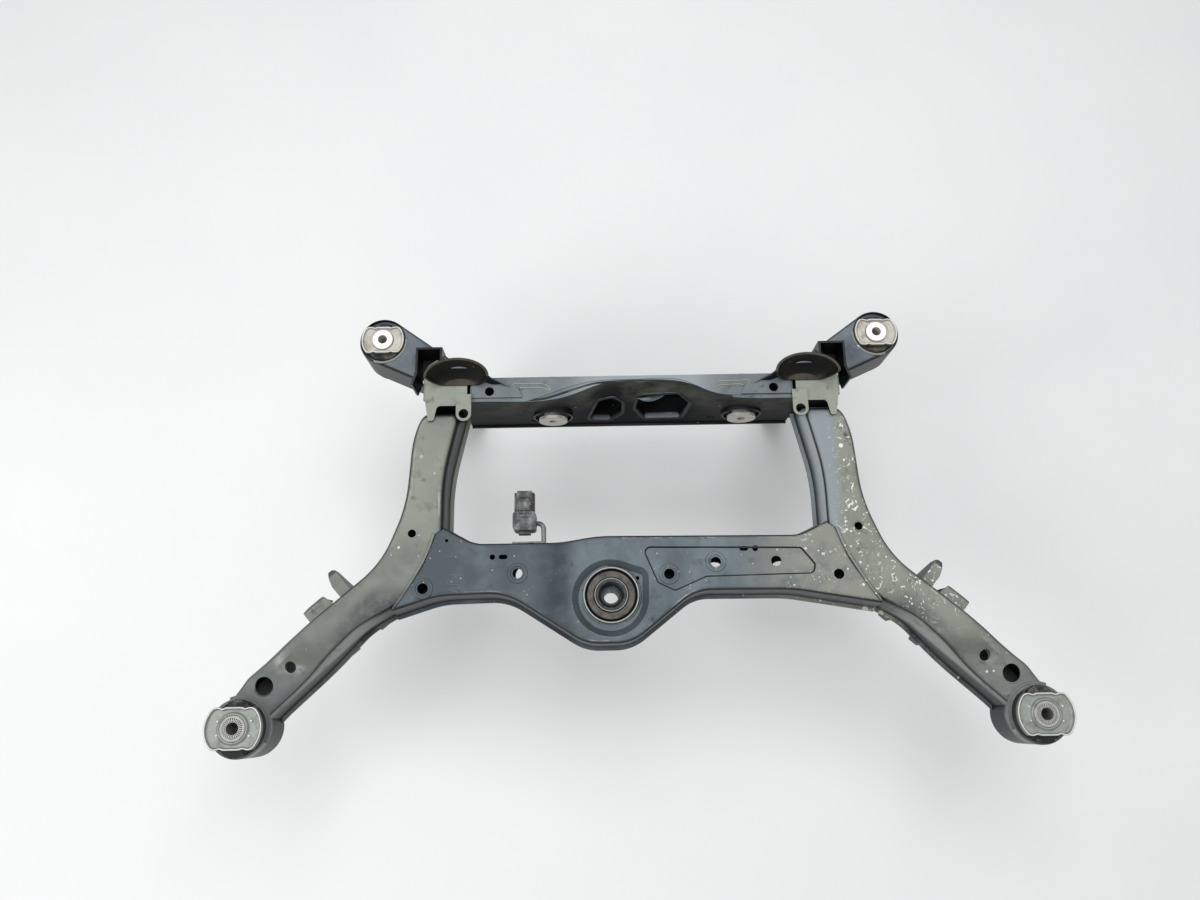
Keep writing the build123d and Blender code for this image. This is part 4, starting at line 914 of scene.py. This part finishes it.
place_piece("sensor_latch", latch, plastic)
print("cup seats and latch parts:", len(seats) + len(latch))

# %% [markdown]
# The stage is a plain pale floor that runs out of sight, with soft light from a bright room and two
# large lamps, so every dark wall still shows its sheen. The camera looks down from about 1.26 m above
# the front mounts, tipped forward by 15.6 degrees.

# %% Floor, light and camera
lowest = cad_box[0][2]
half = 6.0
floor_corners = [(-half, -half, lowest), (half, -half, lowest), (half, half, lowest), (-half, half, lowest)]
floor_mesh = bpy.data.meshes.new("studio_floor")
floor_mesh.from_pydata(floor_corners, [], [(0, 1, 2, 3)])
floor = bpy.data.objects.new("studio_floor", floor_mesh)
bpy.context.scene.collection.objects.link(floor)
floor_paint, tree, place = new_finish("matt_pale_floor_paint")
tone = lay_over(tree, linear("#e6e8e9"), (linear("#eeefef"), patches(tree, place, 900, 0.3, 0.7)))
painted = add_node(tree, "ShaderNodeBsdfDiffuse", {"Color": tone})
add_node(tree, "ShaderNodeOutputMaterial", {0: painted.outputs[0]})
floor_mesh.materials.append(floor_paint)

world = bpy.data.worlds.new("soft_room")
world.use_nodes = True
world.node_tree.nodes["Background"].inputs[0].default_value = (1, 1, 1, 1)
world.node_tree.nodes["Background"].inputs[1].default_value = 0.44
bpy.context.scene.world = world


def soft_box(name, watts, size, spot, aim):
    """A square lamp that stands at its spot and points at its aim."""
    lamp = bpy.data.lights.new(name, "AREA")
    lamp.energy, lamp.size = watts, size
    made = bpy.data.objects.new(name, lamp)
    made.location = spot
    away = np.array(spot) - np.array(aim)
    tip = math.atan2(math.hypot(away[0], away[1]), away[2])
    made.rotation_euler = (tip, 0, math.atan2(away[0], -away[1]))
    bpy.context.scene.collection.objects.link(made)


soft_box("overhead", 52, 2.0, (0.15, 1.0, 2.7), (0, 0.25, 0))
soft_box("side", 32, 1.6, (-2.0, -0.7, 1.9), (0, 0.25, 0))

camera_data = bpy.data.cameras.new("photo_view")
camera_data.lens, camera_data.sensor_width = 28.44, 36
camera = bpy.data.objects.new("photo_view", camera_data)
camera.location = (-0.0514, 0.0091, 1.257)
camera.rotation_euler = (math.radians(15.6), 0, math.radians(-1.0))
bpy.context.scene.collection.objects.link(camera)
bpy.context.scene.camera = camera
bpy.context.scene.view_settings.view_transform = "Standard"
print("floor at", round(lowest, 3), "camera at", tuple(round(v, 3) for v in camera.location))
